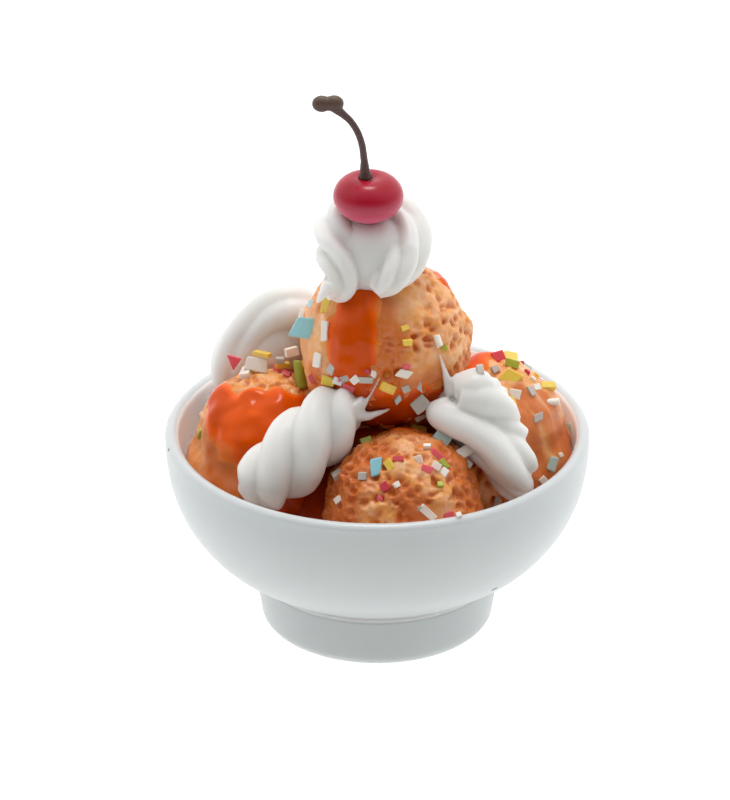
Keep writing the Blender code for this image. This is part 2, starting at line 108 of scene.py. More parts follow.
def arc(middle_radius, middle_height, radius, first, last, steps):
    """Points round a circle in the outline's plane, from one angle in degrees to another."""
    points = []
    for step in range(steps + 1):
        angle = math.radians(first + (last - first) * step / steps)
        points.append((middle_radius + radius * math.cos(angle), middle_height + radius * math.sin(angle)))
    return points


def body_radius(height, radius, depth):
    """Radius of a superellipse at a height, for the outside or the inside of the bowl."""
    drop = min(max((RIM_HEIGHT - height) / depth, 0.0), 1.0)
    return radius * (1 - drop**BOWL_FULLNESS) ** (1 / BOWL_FULLNESS)


def inside_radius(height):
    """Radius of the hollow at a height."""
    return body_radius(height, BOWL_RADIUS - WALL, RIM_HEIGHT - FLOOR_HEIGHT)


def turned(name, outline, steps):
    """Spins an outline of (radius, height), which starts and ends on the axis, into a closed piece."""
    bpy.ops.object.select_all(action="DESELECT")
    bpy.ops.mesh.primitive_plane_add(size=MM)
    piece = bpy.context.object
    piece.name = name
    bpy.ops.object.mode_set(mode="EDIT")
    bpy.ops.mesh.select_all(action="SELECT")
    bpy.ops.mesh.merge(type="CENTER")
    radius, height = outline[0]
    bpy.ops.transform.translate(value=(radius, 0, height))
    for next_radius, next_height in outline[1:]:
        step = (next_radius - radius, 0, next_height - height)
        bpy.ops.mesh.extrude_region_move(TRANSFORM_OT_translate={"value": step})
        radius, height = next_radius, next_height
    bpy.ops.mesh.select_all(action="SELECT")
    bpy.ops.mesh.spin(steps=steps, angle=math.tau, center=(0, 0, 0), axis=(0, 0, 1))
    bpy.ops.mesh.select_all(action="SELECT")
    bpy.ops.mesh.remove_doubles(threshold=MM / 1000)
    bpy.ops.mesh.normals_make_consistent(inside=False)
    bpy.ops.object.mode_set(mode="OBJECT")
    bpy.ops.object.shade_smooth()
    return piece


def store(piece, name, values):
    """Keeps one number for each corner of a piece, for its material to read."""
    attribute = piece.data.attributes.new(name, "FLOAT", "POINT")
    attribute.data.foreach_set("value", values)


def linear(code):
    """The linear colour of an sRGB hex code."""
    shares = [int(code[at : at + 2], 16) / 255 for at in (1, 3, 5)]
    return [share / 12.92 if share <= 0.04045 else ((share + 0.055) / 1.055) ** 2.4 for share in shares] + [1.0]


def new_material(name, constants):
    """A Principled material with the sockets that are the same all over."""
    material = bpy.data.materials.new(name)
    material.use_nodes = True
    shader = material.node_tree.nodes["Principled BSDF"]
    for socket, value in constants.items():
        shader.inputs[socket].default_value = value
    return material, material.node_tree, shader


def add(tree, kind, inputs=None, **settings):
    """Adds a node with its settings. An input is given a value, or is linked to an output."""
    node = tree.nodes.new(kind)
    for setting, value in settings.items():
        setattr(node, setting, value)
    for socket, value in (inputs or {}).items():
        if isinstance(value, bpy.types.NodeSocket):
            tree.links.new(value, node.inputs[socket])
        else:
            node.inputs[socket].default_value = value
    return node


def bowl_resin():
    # Cast polyurethane resin: an even, slightly cool white that light enters a little way, painted whiter inside
    # the hollow as painted light and in a thin band at the foot joint as a painted highlight
    material, tree, shader = new_material(
        "cast white resin",
        {
            "Roughness": 0.36,
            "IOR": 1.49,
            "Subsurface Weight": 0.7,
            "Subsurface Radius": (1.0, 1.0, 1.0),
            "Subsurface Scale": 1.2 * MM,
            "Coat Weight": 0.15,
            "Coat Roughness": 0.2,
        },
    )
    place = add(tree, "ShaderNodeTexCoord").outputs["Object"]
    clouding = add(tree, "ShaderNodeTexNoise", {"Vector": place, "Scale": 1 / (4 * MM), "Detail": 3.0})
    tint = add(
        tree,
        "ShaderNodeMix",
        {0: clouding.outputs["Fac"], 6: linear(BOWL_WHITE), 7: linear(BOWL_SHADE)},
        data_type="RGBA",
    ).outputs[2]
    # The white attribute marks the painted light: the hollow, and the painted highlight band at the foot joint
    white = add(tree, "ShaderNodeAttribute", attribute_name="white").outputs["Fac"]
    tint = add(tree, "ShaderNodeMix", {0: white, 6: tint, 7: linear(BOWL_INSIDE_PAINTED_LIGHT)}, data_type="RGBA").outputs[2]
    for across, down, size in DIRT_SPECKS:
        spot = near_bowl(across, down)
        away = add(tree, "ShaderNodeVectorMath", {0: place, 1: spot}, operation="DISTANCE").outputs["Value"]
        share = add(
            tree, "ShaderNodeMapRange", {"Value": away, "From Min": size, "From Max": 0.6 * size}
        ).outputs[0]
        tint = add(tree, "ShaderNodeMix", {0: share, 6: tint, 7: linear(DIRT)}, data_type="RGBA").outputs[2]
    tree.links.new(tint, shader.inputs["Base Color"])
    waves = add(tree, "ShaderNodeTexNoise", {"Vector": place, "Scale": 1 / (1.6 * MM), "Detail": 4.0})
    grain = add(tree, "ShaderNodeTexNoise", {"Vector": place, "Scale": 1 / (0.12 * MM), "Detail": 2.0})
    soft = add(tree, "ShaderNodeBump", {"Height": waves.outputs["Fac"], "Distance": 0.03 * MM, "Strength": 0.5})
    fine = add(
        tree,
        "ShaderNodeBump",
        {"Height": grain.outputs["Fac"], "Distance": 0.004 * MM, "Strength": 0.5, "Normal": soft.outputs[0]},
    )
    tree.links.new(fine.outputs[0], shader.inputs["Normal"])
    return material


def near_bowl(across, down):
    """The spot of the bowl's outside that shows at a dot of the photo, or is nearest to it."""
    tree = BVHTree.FromObject(bowl, bpy.context.evaluated_depsgraph_get())
    direction = line_of_sight(across, down)
    spot = tree.ray_cast(camera.location, direction)[0]
    if spot is None:
        level = camera.location + direction * CAMERA_DISTANCE
        spot = tree.find_nearest(level)[0]
    return spot


lip = WALL / 2
lip_height = RIM_HEIGHT - lip
outline = [(0, 0)]
outline += arc(FOOT_RADIUS - FOOT_TAPER - FOOT_EDGE, FOOT_EDGE, FOOT_EDGE, -90, 0, 8)
outline += arc(FOOT_RADIUS - FOOT_LEDGE, FOOT_HEIGHT - FOOT_LEDGE, FOOT_LEDGE, 0, 85, 6)
outline.append((body_radius(FOOT_HEIGHT, BOWL_RADIUS, BOWL_DEPTH), FOOT_HEIGHT + 0.01 * MM))
for step in range(1, 41):
    share = math.sin(math.radians(90 * step / 41))
    height = FOOT_HEIGHT + (lip_height - FOOT_HEIGHT) * share
    outline.append((body_radius(height, BOWL_RADIUS, BOWL_DEPTH), height))
outline += arc(BOWL_RADIUS - lip, lip_height, lip, 0, 180, 14)
for step in range(1, 31):
    height = FLOOR_HEIGHT + (lip_height - FLOOR_HEIGHT) * (1 - math.sin(math.radians(90 * step / 31)))
    outline.append((inside_radius(height), height))
outline.append((0, FLOOR_HEIGHT))
bowl = turned("bowl_casting", outline, 144)
# Painted light: the hollow is marked to be painted whiter, and a thin band at the foot joint too, as a painted
# highlight
painted_light_shares = []
for corner in bowl.data.vertices:
    radius = math.hypot(corner.co.x, corner.co.y)
    inside = radius < BOWL_RADIUS - lip and radius < inside_radius(corner.co.z) + 0.1 * MM
    painted_light_shares.append(float(inside or abs(corner.co.z - FOOT_HEIGHT) < JOINT_PAINTED_HIGHLIGHT))
store(bowl, "white", painted_light_shares)
bowl.data.materials.append(bowl_resin())
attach(bowl, "root")
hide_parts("bowl")


# Scoops. Each is a ball of apricot modelling clay, torn and stippled with a stiff brush so that it
# looks like ice cream, pressed against its neighbours and into the bowl, and baked.
Scoop = namedtuple("Scoop", "middle radii seed spread ramp smooth_spots strokes films strewn")
SCOOPS = {
    "scoop_top": Scoop(
        (0.45, -0.2, 17.9),
        (4.9, 4.7, 5.4),
        11,
        0.0,
        2.0,
        ((287, 52, 17), (303, 6, 15), (225, 20, 26), (195, 10, 25)),
        (
            ((230, 66, 1.6), (240, 44, 1.9), (244, 25, 2.0), (245, 8, 2.05), (246, -8, 2.15), (250, -20, 2.1)),
            ((238, -27, 2.4), (262, -26, 2.8), (285, -26, 2.6), (303, -25, 1.8)),
            ((38, 62, 0.6), (25, 53, 0.75), (2, 47, 0.5)),
            ((60, 60, 1.2), (62, 40, 1.6), (60, 20, 1.4)),
            ((150, 62, 0.8), (152, 45, 1.1)),
        ),
        (
            ((258, 50, 1.5), (264, 25, 1.8), (262, 0, 1.8), (275, -20, 2.2), (310, -22, 2.2), (340, -15, 1.5)),
            ((215, -5, 0.8), (222, -25, 1.5)),
            ((20, 30, 1.0), (30, 0, 1.5)),
            ((120, 40, 1.5), (110, 0, 2.0)),
        ),
        5,
    ),
    "scoop_left": Scoop(
        (-6.35, -0.1, 11.3),
        (4.35, 4.3, 4.35),
        23,
        0.24,
        1.5,
        ((200, 0, 32), (230, 0, 25)),
        (
            ((165, 38, 0.8), (188, 46, 1.6), (218, 44, 2.3), (248, 37, 2.8), (274, 22, 3.0), (288, -5, 2.8),
             (294, -25, 2.5)),
            ((235, 60, 1.4), (268, 58, 1.7), (300, 50, 1.9), (325, 42, 1.9)),
        ),
        (
            ((200, 30, 0.9), (225, 15, 1.6), (238, -5, 2.2), (245, -30, 2.6)),
            ((60, 50, 1.2), (100, 40, 1.5), (140, 20, 1.5)),
        ),
        4,
    ),
    "scoop_front": Scoop(
        (1.55, -6.2, 10.5),
        (4.4, 4.35, 4.4),
        37,
        0.12,
        1.3,
        ((300, 5, 20),),
        (((90, 62, 1.4), (95, 30, 2.4)),),
        (
            ((210, 62, 1.4), (203, 35, 2.1), (204, 5, 2.4), (220, -15, 2.4)),
            ((345, 55, 1.2), (345, 30, 1.7), (335, 0, 1.9), (320, -15, 2.0)),
            ((262, 38, 0.8), (280, 25, 0.9), (272, 5, 0.9)),
            ((60, 70, 1.6), (120, 60, 1.6)),
        ),
        0,
    ),
    "scoop_right": Scoop(
        (6.75, 1.2, 11.5),
        (4.4, 4.3, 4.4),
        41,
        0.22,
        1.3,
        ((310, 30, 50), (340, 5, 40), (20, 50, 25)),
        (
            ((185, 45, 1.7), (200, 62, 1.8), (150, 72, 1.8), (105, 68, 1.4)),
        ),
        (
            ((315, 58, 0.5), (322, 35, 0.6), (327, 5, 0.7)),
            ((338, 48, 0.35), (338, 25, 0.55), (338, 0, 0.7)),
            ((302, 45, 0.6), (306, 15, 0.6), (308, -15, 0.8)),
            ((285, 35, 1.2), (290, 0, 1.3), (300, -25, 1.8)),
            ((352, 5, 1.0), (345, -20, 1.8), (320, -30, 2.2)),
        ),
        5,
    ),
    "scoop_back": Scoop(
        (-0.3, 6.9, 11.2),
        (4.2, 4.2, 4.2),
        59,
        0.2,
        1.3,
        ((90, 10, 25),),
        (
            ((250, 60, 1.8), (250, 35, 2.2)),
            ((30, 62, 1.0), (38, 40, 1.4), (42, 20, 1.2)),
        ),
        (
            ((60, 50, 1.2), (65, 20, 1.6), (65, -10, 2.0)),
            ((150, 50, 1.0), (140, 10, 1.6)),
        ),
        9,
    ),
}
GAP = 0.3 * MM
SPREAD_START = 0.1
SPREAD_RUN = 0.5
LUMP_SIZE = 2.4 * MM
LUMP_HEIGHT = 0.28 * MM
CRAG_SIZE = 0.95 * MM
CRAG_HEIGHT = 0.16 * MM
PIT_SIZE = 0.64 * MM
PIT_DEPTH = 0.42 * MM
STIPPLE_SIZE = 0.2 * MM
STIPPLE_HEIGHT = 0.06 * MM
CLAY_RIDGE = "#f6c08e"
CLAY_BODY = "#eea555"
# Darker orange of the pits: partly the glaze held in them, partly painted shade
CLAY_PIT_GLAZE_AND_SHADE = "#d26a18"
CLAY_FILM = "#cf6206"
FILM_STRENGTH = 0.85


def direction_of(azimuth, elevation):
    turn = math.radians(azimuth)
    rise = math.radians(elevation)
    return Vector((math.cos(turn) * math.cos(rise), math.sin(turn) * math.cos(rise), math.sin(rise)))


def smooth_step(value):
    value = min(max(value, 0.0), 1.0)
    return value * value * (3 - 2 * value)


def plain_reach(scoop, direction):
    """Distance from a scoop's middle to its smooth surface."""
    squares = sum((along / radius) ** 2 for along, radius in zip(direction, scoop.radii))
    spread = scoop.spread * smooth_step((SPREAD_START - direction.z) / SPREAD_RUN)
    return (1 + spread) * MM / math.sqrt(squares)


def flats_of(scoop):
    """The planes in which a scoop is pressed against its neighbours: direction and distance."""
    flats = []
    for other in SCOOPS.values():
        if other is scoop:
            continue
        between = (Vector(other.middle) - Vector(scoop.middle)) * MM
        towards = between.normalized()
        own = plain_reach(scoop, towards)
        flats.append((towards, between.length * own / (own + plain_reach(other, -towards))))
    return flats


def in_bowl(point):
    """True where a point is clear of the bowl's wall and floor."""
    if point.z > RIM_HEIGHT:
        return True
    if point.z < FLOOR_HEIGHT + GAP:
        return False
    return math.hypot(point.x, point.y) < inside_radius(point.z) - 0.1 * MM


def lumpy_reach(scoop, direction):
    """Distance from a scoop's middle to its surface before the brush stipples it."""
    reach = plain_reach(scoop, direction)
    spot = direction * reach
    shift = Vector((scoop.seed, -scoop.seed, 2 * scoop.seed))
    reach += LUMP_HEIGHT * noise.noise(spot / LUMP_SIZE + shift)
    reach += CRAG_HEIGHT * noise.noise(spot / CRAG_SIZE + shift)
    return reach


def pressed(scoop, flats, direction, reach):
    """The reach, cut short by the neighbours and the bowl."""
    for towards, distance in flats:
        along = direction.dot(towards)
        if along > 0.2:
            reach = min(reach, distance / along)
    middle = Vector(scoop.middle) * MM
    while not in_bowl(middle + direction * reach):
        reach -= 0.04 * MM
    return reach


def roughness_at(scoop, direction):
    """How strongly the brush worked the clay at a direction, from 0 to 1."""
    share = 1.0
    for azimuth, elevation, width in scoop.smooth_spots:
        away = math.degrees(direction.angle(direction_of(azimuth, elevation)))
        share = min(share, smooth_step((away - 0.6 * width) / (0.7 * width)))
    return 0.15 + 0.85 * share


def pit_at(scoop, spot):
    """0 on the ridges that the brush left between its pits, 1 at the bottom of a pit."""
    shift = Vector((-scoop.seed, scoop.seed, scoop.seed))
    bent = spot / PIT_SIZE + 0.5 * noise.noise_vector(spot / (1.6 * PIT_SIZE) + shift)
    nearest = noise.voronoi(bent + shift)[0][0]
    uneven = 0.5 + 0.5 * noise.noise(spot / (2.2 * PIT_SIZE) - shift)
    return (1 - smooth_step(nearest / 0.7)) * (0.35 + 0.9 * uneven)


def stroke_share(scoop, strokes, direction):
    """1 on the middle line of the nearest brush stroke of sauce, 0 at its edge, less outside."""
    best = -9.0
    spot = direction * plain_reach(scoop, direction) / MM
    for stroke in strokes:
        ends = []
        for azimuth, elevation, half_width in stroke:
            towards = direction_of(azimuth, elevation)
            ends.append((towards * plain_reach(scoop, towards) / MM, half_width))
        for (first, first_width), (last, last_width) in zip(ends, ends[1:]):
            run = last - first
            along = min(max((spot - first).dot(run) / run.length_squared, 0.0), 1.0)
            width = first_width + (last_width - first_width) * along
            best = max(best, 1 - (spot - first - run * along).length / width)
    return best


def baked_clay():
    # Polymer clay, brushed and baked: matt apricot crests, and pits painted darker orange, partly by the film of
    # orange glaze they hold and partly as painted shade in the hollows
    material, tree, shader = new_material(
        "baked apricot clay",
        {
            "IOR": 1.5,
            "Subsurface Weight": 0.25,
            "Subsurface Radius": (1.0, 0.4, 0.15),
            "Subsurface Scale": 0.6 * MM,
        },
    )
    place = add(tree, "ShaderNodeTexCoord").outputs["Object"]
    pit = add(tree, "ShaderNodeAttribute", attribute_name="pit").outputs["Fac"]
    mottle = add(tree, "ShaderNodeTexNoise", {"Vector": place, "Scale": 1 / (0.7 * MM), "Detail": 4.0}).outputs[0]
    clouds = add(tree, "ShaderNodeTexNoise", {"Vector": place, "Scale": 1 / (2.6 * MM), "Detail": 3.0}).outputs[0]
    pale = add(tree, "ShaderNodeMapRange", {"Value": mottle, "From Min": 0.4, "From Max": 0.65}).outputs[0]
    # Pits painted darker: partly their glaze, partly painted shade in the hollows
    deep_tint_and_shade = add(tree, "ShaderNodeMapRange", {"Value": pit, "From Min": 0.08, "From Max": 0.7}).outputs[0]
    film = add(tree, "ShaderNodeAttribute", attribute_name="film").outputs["Fac"]
    patchy = add(tree, "ShaderNodeMath", {0: clouds, 1: 0.38}, operation="SUBTRACT").outputs[0]
    film = add(tree, "ShaderNodeMath", {0: patchy, 1: 1.6, 2: film}, operation="MULTIPLY_ADD").outputs[0]
    film = add(tree, "ShaderNodeMapRange", {"Value": film, "To Max": FILM_STRENGTH}).outputs[0]
    tint = add(
        tree, "ShaderNodeMix", {0: pale, 6: linear(CLAY_BODY), 7: linear(CLAY_RIDGE)}, data_type="RGBA"
    ).outputs[2]
    tint = add(tree, "ShaderNodeMix", {0: film, 6: tint, 7: linear(CLAY_FILM)}, data_type="RGBA").outputs[2]
    tint = add(tree, "ShaderNodeMix", {0: deep_tint_and_shade, 6: tint, 7: linear(CLAY_PIT_GLAZE_AND_SHADE)}, data_type="RGBA").outputs[2]
    tree.links.new(tint, shader.inputs["Base Color"])
    gloss = add(
        tree, "ShaderNodeMapRange", {"Value": pit, "From Max": 0.8, "To Min": 0.4, "To Max": 0.2}
    ).outputs[0]
    tree.links.new(gloss, shader.inputs["Roughness"])
    grain = add(tree, "ShaderNodeTexNoise", {"Vector": place, "Scale": 1 / (0.14 * MM), "Detail": 3.0}).outputs[0]
    bump = add(tree, "ShaderNodeBump", {"Height": grain, "Distance": 0.04 * MM, "Strength": 0.6}).outputs[0]
    tree.links.new(bump, shader.inputs["Normal"])
    return material


clay = baked_clay()
clay_pieces = {}
for name, scoop in SCOOPS.items():
    bpy.ops.object.select_all(action="DESELECT")
    bpy.ops.mesh.primitive_ico_sphere_add(subdivisions=7, radius=MM)
    ball = bpy.context.object
    ball.name = name + "_clay"
    flats = flats_of(scoop)
    middle = Vector(scoop.middle) * MM
    pits = []
    films = []
    for corner in ball.data.vertices:
        direction = corner.co.normalized()
        reach = lumpy_reach(scoop, direction)
        spot = direction * reach
        rough = roughness_at(scoop, direction)
        pit = pit_at(scoop, spot) * rough
        reach += rough * (0.35 * PIT_DEPTH - PIT_DEPTH * pit)
        reach += rough * STIPPLE_HEIGHT * noise.noise(spot / STIPPLE_SIZE)
        corner.co = middle + direction * pressed(scoop, flats, direction, reach)
        pits.append(pit)
        films.append(smooth_step(stroke_share(scoop, scoop.films, direction) + 0.35))
    store(ball, "pit", pits)
    store(ball, "film", films)
    bpy.ops.object.shade_smooth()
    ball.data.materials.append(clay)
    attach(ball, "root")
    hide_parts(name)
    clay_pieces[name] = ball


# Sauce. Orange casting resin fills the bowl between the scoops and was brushed thickly over them.
# It set with a soft, raised edge, redder where it is thick, and the glaze is painted deeper red where it faces
# down, as painted shade.
SAUCE_LEVELS = ((0.0, 14.9 * MM), (4.4 * MM, 14.2 * MM), (6.0 * MM, 11.0 * MM), (8.0 * MM, 7.4 * MM))
SAUCE_WALL_LEVEL = 6.8 * MM
SAUCE_WAVE = 0.35 * MM
GLAZE_THICKNESS = 0.27 * MM
GLAZE_SUNK = 0.22 * MM
GLAZE_WANDER = 0.18
SAUCE_THICK = "#ec5a02"
SAUCE_THIN = "#ee9648"
# Deep red of thick resin, also used as painted shade on downward-facing glaze
SAUCE_DEEP_AND_SHADE = "#8c2602"


def coloured_resin():
    # Tinted casting resin: clear, glossy and saturated, paler where a thin film lets the clay through, deep red
    # where thick and, as painted shade, where the glaze faces down
    material, tree, shader = new_material(
        "orange casting resin",
        {
            "IOR": 1.4,
            "Specular IOR Level": 0.22,
            "Subsurface Weight": 0.1,
            "Subsurface Radius": (1.0, 0.2, 0.03),
            "Subsurface Scale": 0.5 * MM,
        },
    )
    place = add(tree, "ShaderNodeTexCoord").outputs["Object"]
    depth = add(tree, "ShaderNodeAttribute", attribute_name="depth").outputs["Fac"]
    streaks = add(tree, "ShaderNodeMapping", {"Vector": place, "Scale": (1.0, 1.0, 0.3)}).outputs[0]
    swirl = add(tree, "ShaderNodeTexNoise", {"Vector": streaks, "Scale": 1 / (1.3 * MM), "Detail": 3.0}).outputs[0]
    uneven = add(
        tree, "ShaderNodeMath", {0: swirl, 1: 0.5}, operation="SUBTRACT"
    ).outputs[0]
    mixed = add(tree, "ShaderNodeMath", {0: uneven, 1: 0.45, 2: depth}, operation="MULTIPLY_ADD").outputs[0]
    thick = add(tree, "ShaderNodeMapRange", {"Value": mixed, "From Min": 0.1, "From Max": 0.95}).outputs[0]
    # Deep red where the resin is thick, and painted shade where the glaze faces down
    deep_tint_and_shade = add(tree, "ShaderNodeMapRange", {"Value": mixed, "From Min": 1.0, "From Max": 1.9}).outputs[0]
    tint = add(
        tree, "ShaderNodeMix", {0: thick, 6: linear(SAUCE_THIN), 7: linear(SAUCE_THICK)}, data_type="RGBA"
    ).outputs[2]
    tint = add(tree, "ShaderNodeMix", {0: deep_tint_and_shade, 6: tint, 7: linear(SAUCE_DEEP_AND_SHADE)}, data_type="RGBA").outputs[2]
    tree.links.new(tint, shader.inputs["Base Color"])
    gloss = add(tree, "ShaderNodeMapRange", {"Value": swirl, "To Min": 0.12, "To Max": 0.3}).outputs[0]
    tree.links.new(gloss, shader.inputs["Roughness"])
    waves = add(tree, "ShaderNodeTexNoise", {"Vector": place, "Scale": 1 / (0.7 * MM), "Detail": 2.0}).outputs[0]
    bump = add(tree, "ShaderNodeBump", {"Height": waves, "Distance": 0.03 * MM, "Strength": 0.35}).outputs[0]
    tree.links.new(bump, shader.inputs["Normal"])
    return material


resin = coloured_resin()
outline = [(0, FLOOR_HEIGHT - 0.1 * MM)]
for step in range(13):
    height = FLOOR_HEIGHT + (SAUCE_WALL_LEVEL - FLOOR_HEIGHT) * math.sin(math.radians(90 * step / 12))
    outline.append((inside_radius(height) + 0.1 * MM, height))
for step in range(40, -1, -1):
    radius = inside_radius(SAUCE_WALL_LEVEL) * step / 41
    levels = SAUCE_LEVELS + ((inside_radius(SAUCE_WALL_LEVEL), SAUCE_WALL_LEVEL),)
    for (inner, inner_level), (outer, outer_level) in zip(levels, levels[1:]):
        if inner <= radius <= outer:
            share = (radius - inner) / (outer - inner)
            outline.append((radius, inner_level + (outer_level - inner_level) * share))
            break
pool = turned("sauce_pool_resin", outline, 128)
depths = []
for corner in pool.data.vertices:
    if math.hypot(corner.co.x, corner.co.y) < inside_radius(corner.co.z) - 0.05 * MM:
        corner.co.z += SAUCE_WAVE * noise.noise(corner.co / (1.5 * MM))
    depths.append(1.85)
store(pool, "depth", depths)
pool.data.materials.append(resin)
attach(pool, "root")
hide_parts("sauce_pool")

glaze_pieces = []
for name, scoop in SCOOPS.items():
    bpy.ops.object.select_all(action="DESELECT")
    bpy.ops.mesh.primitive_ico_sphere_add(subdivisions=7, radius=MM)
    film = bpy.context.object
    film.name = name + "_glaze"
    flats = flats_of(scoop)
    middle = Vector(scoop.middle) * MM
    depths = []
    outside = []
    for corner in film.data.vertices:
        direction = corner.co.normalized()
        share = stroke_share(scoop, scoop.strokes, direction)
        reach = plain_reach(scoop, direction)
        spot = direction * reach
        share += GLAZE_WANDER * noise.noise(spot / (1.1 * MM) + Vector((scoop.seed, 0, 0)))
        slope = 1.2 + 0.7 * direction.z
        bead = min(max(share * slope, 0.0), 1.0)
        depth = (1 - (1 - bead) ** 2.4) ** (1 / 2.4)
        depth *= 0.85 + 0.5 * noise.noise(spot / (2.2 * MM) + Vector((0, scoop.seed, 0)))
        reach = lumpy_reach(scoop, direction) + GLAZE_THICKNESS * depth - GLAZE_SUNK * (1 - bead)
        corner.co = middle + direction * pressed(scoop, flats, direction, reach)
        tint_depth = min(max(share * scoop.ramp, 0.0), 1.0) * (0.9 + 0.4 * depth)
        # Painted shade: the tint goes deeper the more the glaze faces down
        depths.append(tint_depth * (1 + max(-direction.z, 0)))
        outside.append(share < -0.15)
    store(film, "depth", depths)
    film.data.materials.append(resin)
    bpy.ops.object.shade_smooth()
    for corner, gone in zip(film.data.vertices, outside):
        corner.select = gone
    bpy.ops.object.mode_set(mode="EDIT")
    bpy.ops.mesh.select_mode(type="VERT")
    bpy.ops.mesh.select_all(action="DESELECT")
    bpy.ops.object.mode_set(mode="OBJECT")
    for corner, gone in zip(film.data.vertices, outside):
        corner.select = gone
    bpy.ops.object.mode_set(mode="EDIT")
    bpy.ops.mesh.delete(type="VERT")
    bpy.ops.object.mode_set(mode="OBJECT")
    wall = film.modifiers.new("Solidify", "SOLIDIFY")
    wall.thickness = 0.35 * MM
    wall.offset = -1
    bpy.ops.object.modifier_apply(modifier=wall.name)
    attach(film, "root")
    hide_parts(name)
    glaze_pieces.append(film)


# Cream. Four lengths of white silicone, piped through a small star nozzle with a twist to the left,
# so the ridges run round each rope. The ends were drawn out into thin strings.
Rope = namedtuple("Rope", "path ridges depth twists heart")
CREAM_ROPES = {
    "cream_top": Rope(
        (
            (-0.2, -3.2, 22.9, 0.6), (0.6, -2.8, 23.6, 1.2), (1.3, -1.6, 24.3, 1.6), (1.5, 0.4, 25.1, 1.6),
            (0.1, 1.7, 25.4, 1.8), (-1.8, 0.9, 25.4, 1.65), (-2.2, -0.8, 24.8, 1.6), (-2.0, -2.0, 24.1, 1.5),
            (-2.1, -2.5, 23.2, 1.25), (-2.9, -2.4, 22.4, 0.7),
        ),
        5, 0.34, 1.2, (-0.3, -0.8, 24.1, 2.35),
    ),
    "cream_front_left": Rope(
        (
            (-7.5, -6.3, 10.9, 0.9), (-6.8, -6.2, 11.7, 1.9), (-5.3, -5.9, 13.1, 2.3),
            (-3.6, -5.3, 14.7, 2.3), (-2.2, -4.6, 15.9, 1.85), (-1.3, -4.1, 16.4, 0.9),
        ),
        3, 0.3, 1.25, None,
    ),
    "cream_right": Rope(
        (
            (8.5, -5.4, 10.4, 0.6), (8.1, -5.3, 11.4, 1.2), (7.2, -4.9, 13.0, 1.55),
            (6.2, -4.2, 14.5, 1.9), (5.6, -3.5, 15.7, 2.2), (5.1, -3.1, 16.6, 1.1),
        ),
        5, 0.42, 0.45, (4.3, -3.5, 15.7, 1.1),
    ),
    "cream_back_left": Rope(
        (
            (-7.4, 5.2, 10.6, 0.9), (-8.2, 4.9, 12.3, 1.4), (-8.4, 4.2, 14.4, 1.6), (-7.2, 4.3, 16.6, 1.7),
            (-5.3, 4.5, 17.7, 1.8), (-3.9, 4.4, 17.0, 1.6), (-3.8, 3.9, 15.2, 1.0), (-5.2, 3.3, 14.7, 0.5),
        ),
        5, 0.14, 0.4, (-5.9, 4.6, 15.7, 2.4),
    ),
}
CREAM_STRANDS = {
    "cream_front_left": (
        ((350, 402, 4.9, 0.9), (356, 412, 5.0, 0.55), (364, 416, 5.1, 0.3), (378, 413, 5.1, 0.18),
         (390, 409, 5.0, 0.08)),
        ((362, 408, 5.0, 0.2), (369, 397, 5.1, 0.1), (375, 387, 5.1, 0.09), (380, 377, 5.1, 0.07)),
    ),
    "cream_right": (
        ((452, 392, 3.9, 0.5), (448, 382, 3.9, 0.28), (444, 369, 3.9, 0.15), (439, 353, 3.9, 0.07)),
        ((455, 388, 3.9, 0.8), (475, 386, 4.0, 1.1), (493, 385, 3.9, 0.8), (499, 381, 3.8, 0.25)),
        ((460, 396, 4.2, 1.1), (485, 401, 4.4, 1.3), (505, 411, 4.2, 0.9), (519, 419, 3.9, 0.2)),
        ((480, 415, 4.6, 0.9), (500, 425, 4.7, 0.8), (516, 431, 4.5, 0.65), (525, 434, 4.3, 0.4)),
        ((490, 435, 5.0, 1.0), (510, 447, 5.1, 1.0), (525, 460, 4.9, 0.75), (533, 469, 4.7, 0.4)),
        ((500, 460, 5.3, 1.0), (515, 474, 5.3, 0.9), (528, 485, 5.2, 0.45)),
        ((438, 402, 4.2, 0.7), (442, 413, 4.7, 1.0), (455, 422, 5.2, 1.0), (474, 431, 5.6, 1.0),
         (490, 443, 5.9, 1.0), (504, 460, 6.1, 1.0), (517, 478, 6.1, 0.8), (527, 488, 5.9, 0.4)),
    ),
    "cream_top": (
        ((330, 285, 3.3, 0.5), (324, 293, 3.6, 0.3), (317, 303, 3.8, 0.12)),
    ),
}
CREAM_VOXEL = 0.1 * MM
SECTION_STEPS = 14
CREAM_WHITE = "#e6e6e3"
CREAM_CREASE = "#dfddd6"


def white_silicone():
    # Silicone sealant: a milky white that light enters, with a soft waxy shine
    material, tree, shader = new_material(
        "piped white silicone",
        {
            "Roughness": 0.38,
            "IOR": 1.42,
            "Subsurface Weight": 0.8,
            "Subsurface Radius": (1.0, 1.0, 0.95),
            "Subsurface Scale": 1.2 * MM,
        },
    )
    place = add(tree, "ShaderNodeTexCoord").outputs["Object"]
    clouds = add(tree, "ShaderNodeTexNoise", {"Vector": place, "Scale": 1 / (2.5 * MM), "Detail": 3.0}).outputs[0]
    tint = add(
        tree, "ShaderNodeMix", {0: clouds, 6: linear(CREAM_WHITE), 7: linear(CREAM_CREASE)}, data_type="RGBA"
    ).outputs[2]
    tree.links.new(tint, shader.inputs["Base Color"])
    drag = add(tree, "ShaderNodeTexNoise", {"Vector": place, "Scale": 1 / (0.5 * MM), "Detail": 3.0}).outputs[0]
    bump = add(tree, "ShaderNodeBump", {"Height": drag, "Distance": 0.03 * MM, "Strength": 0.4}).outputs[0]
    tree.links.new(bump, shader.inputs["Normal"])
    return material


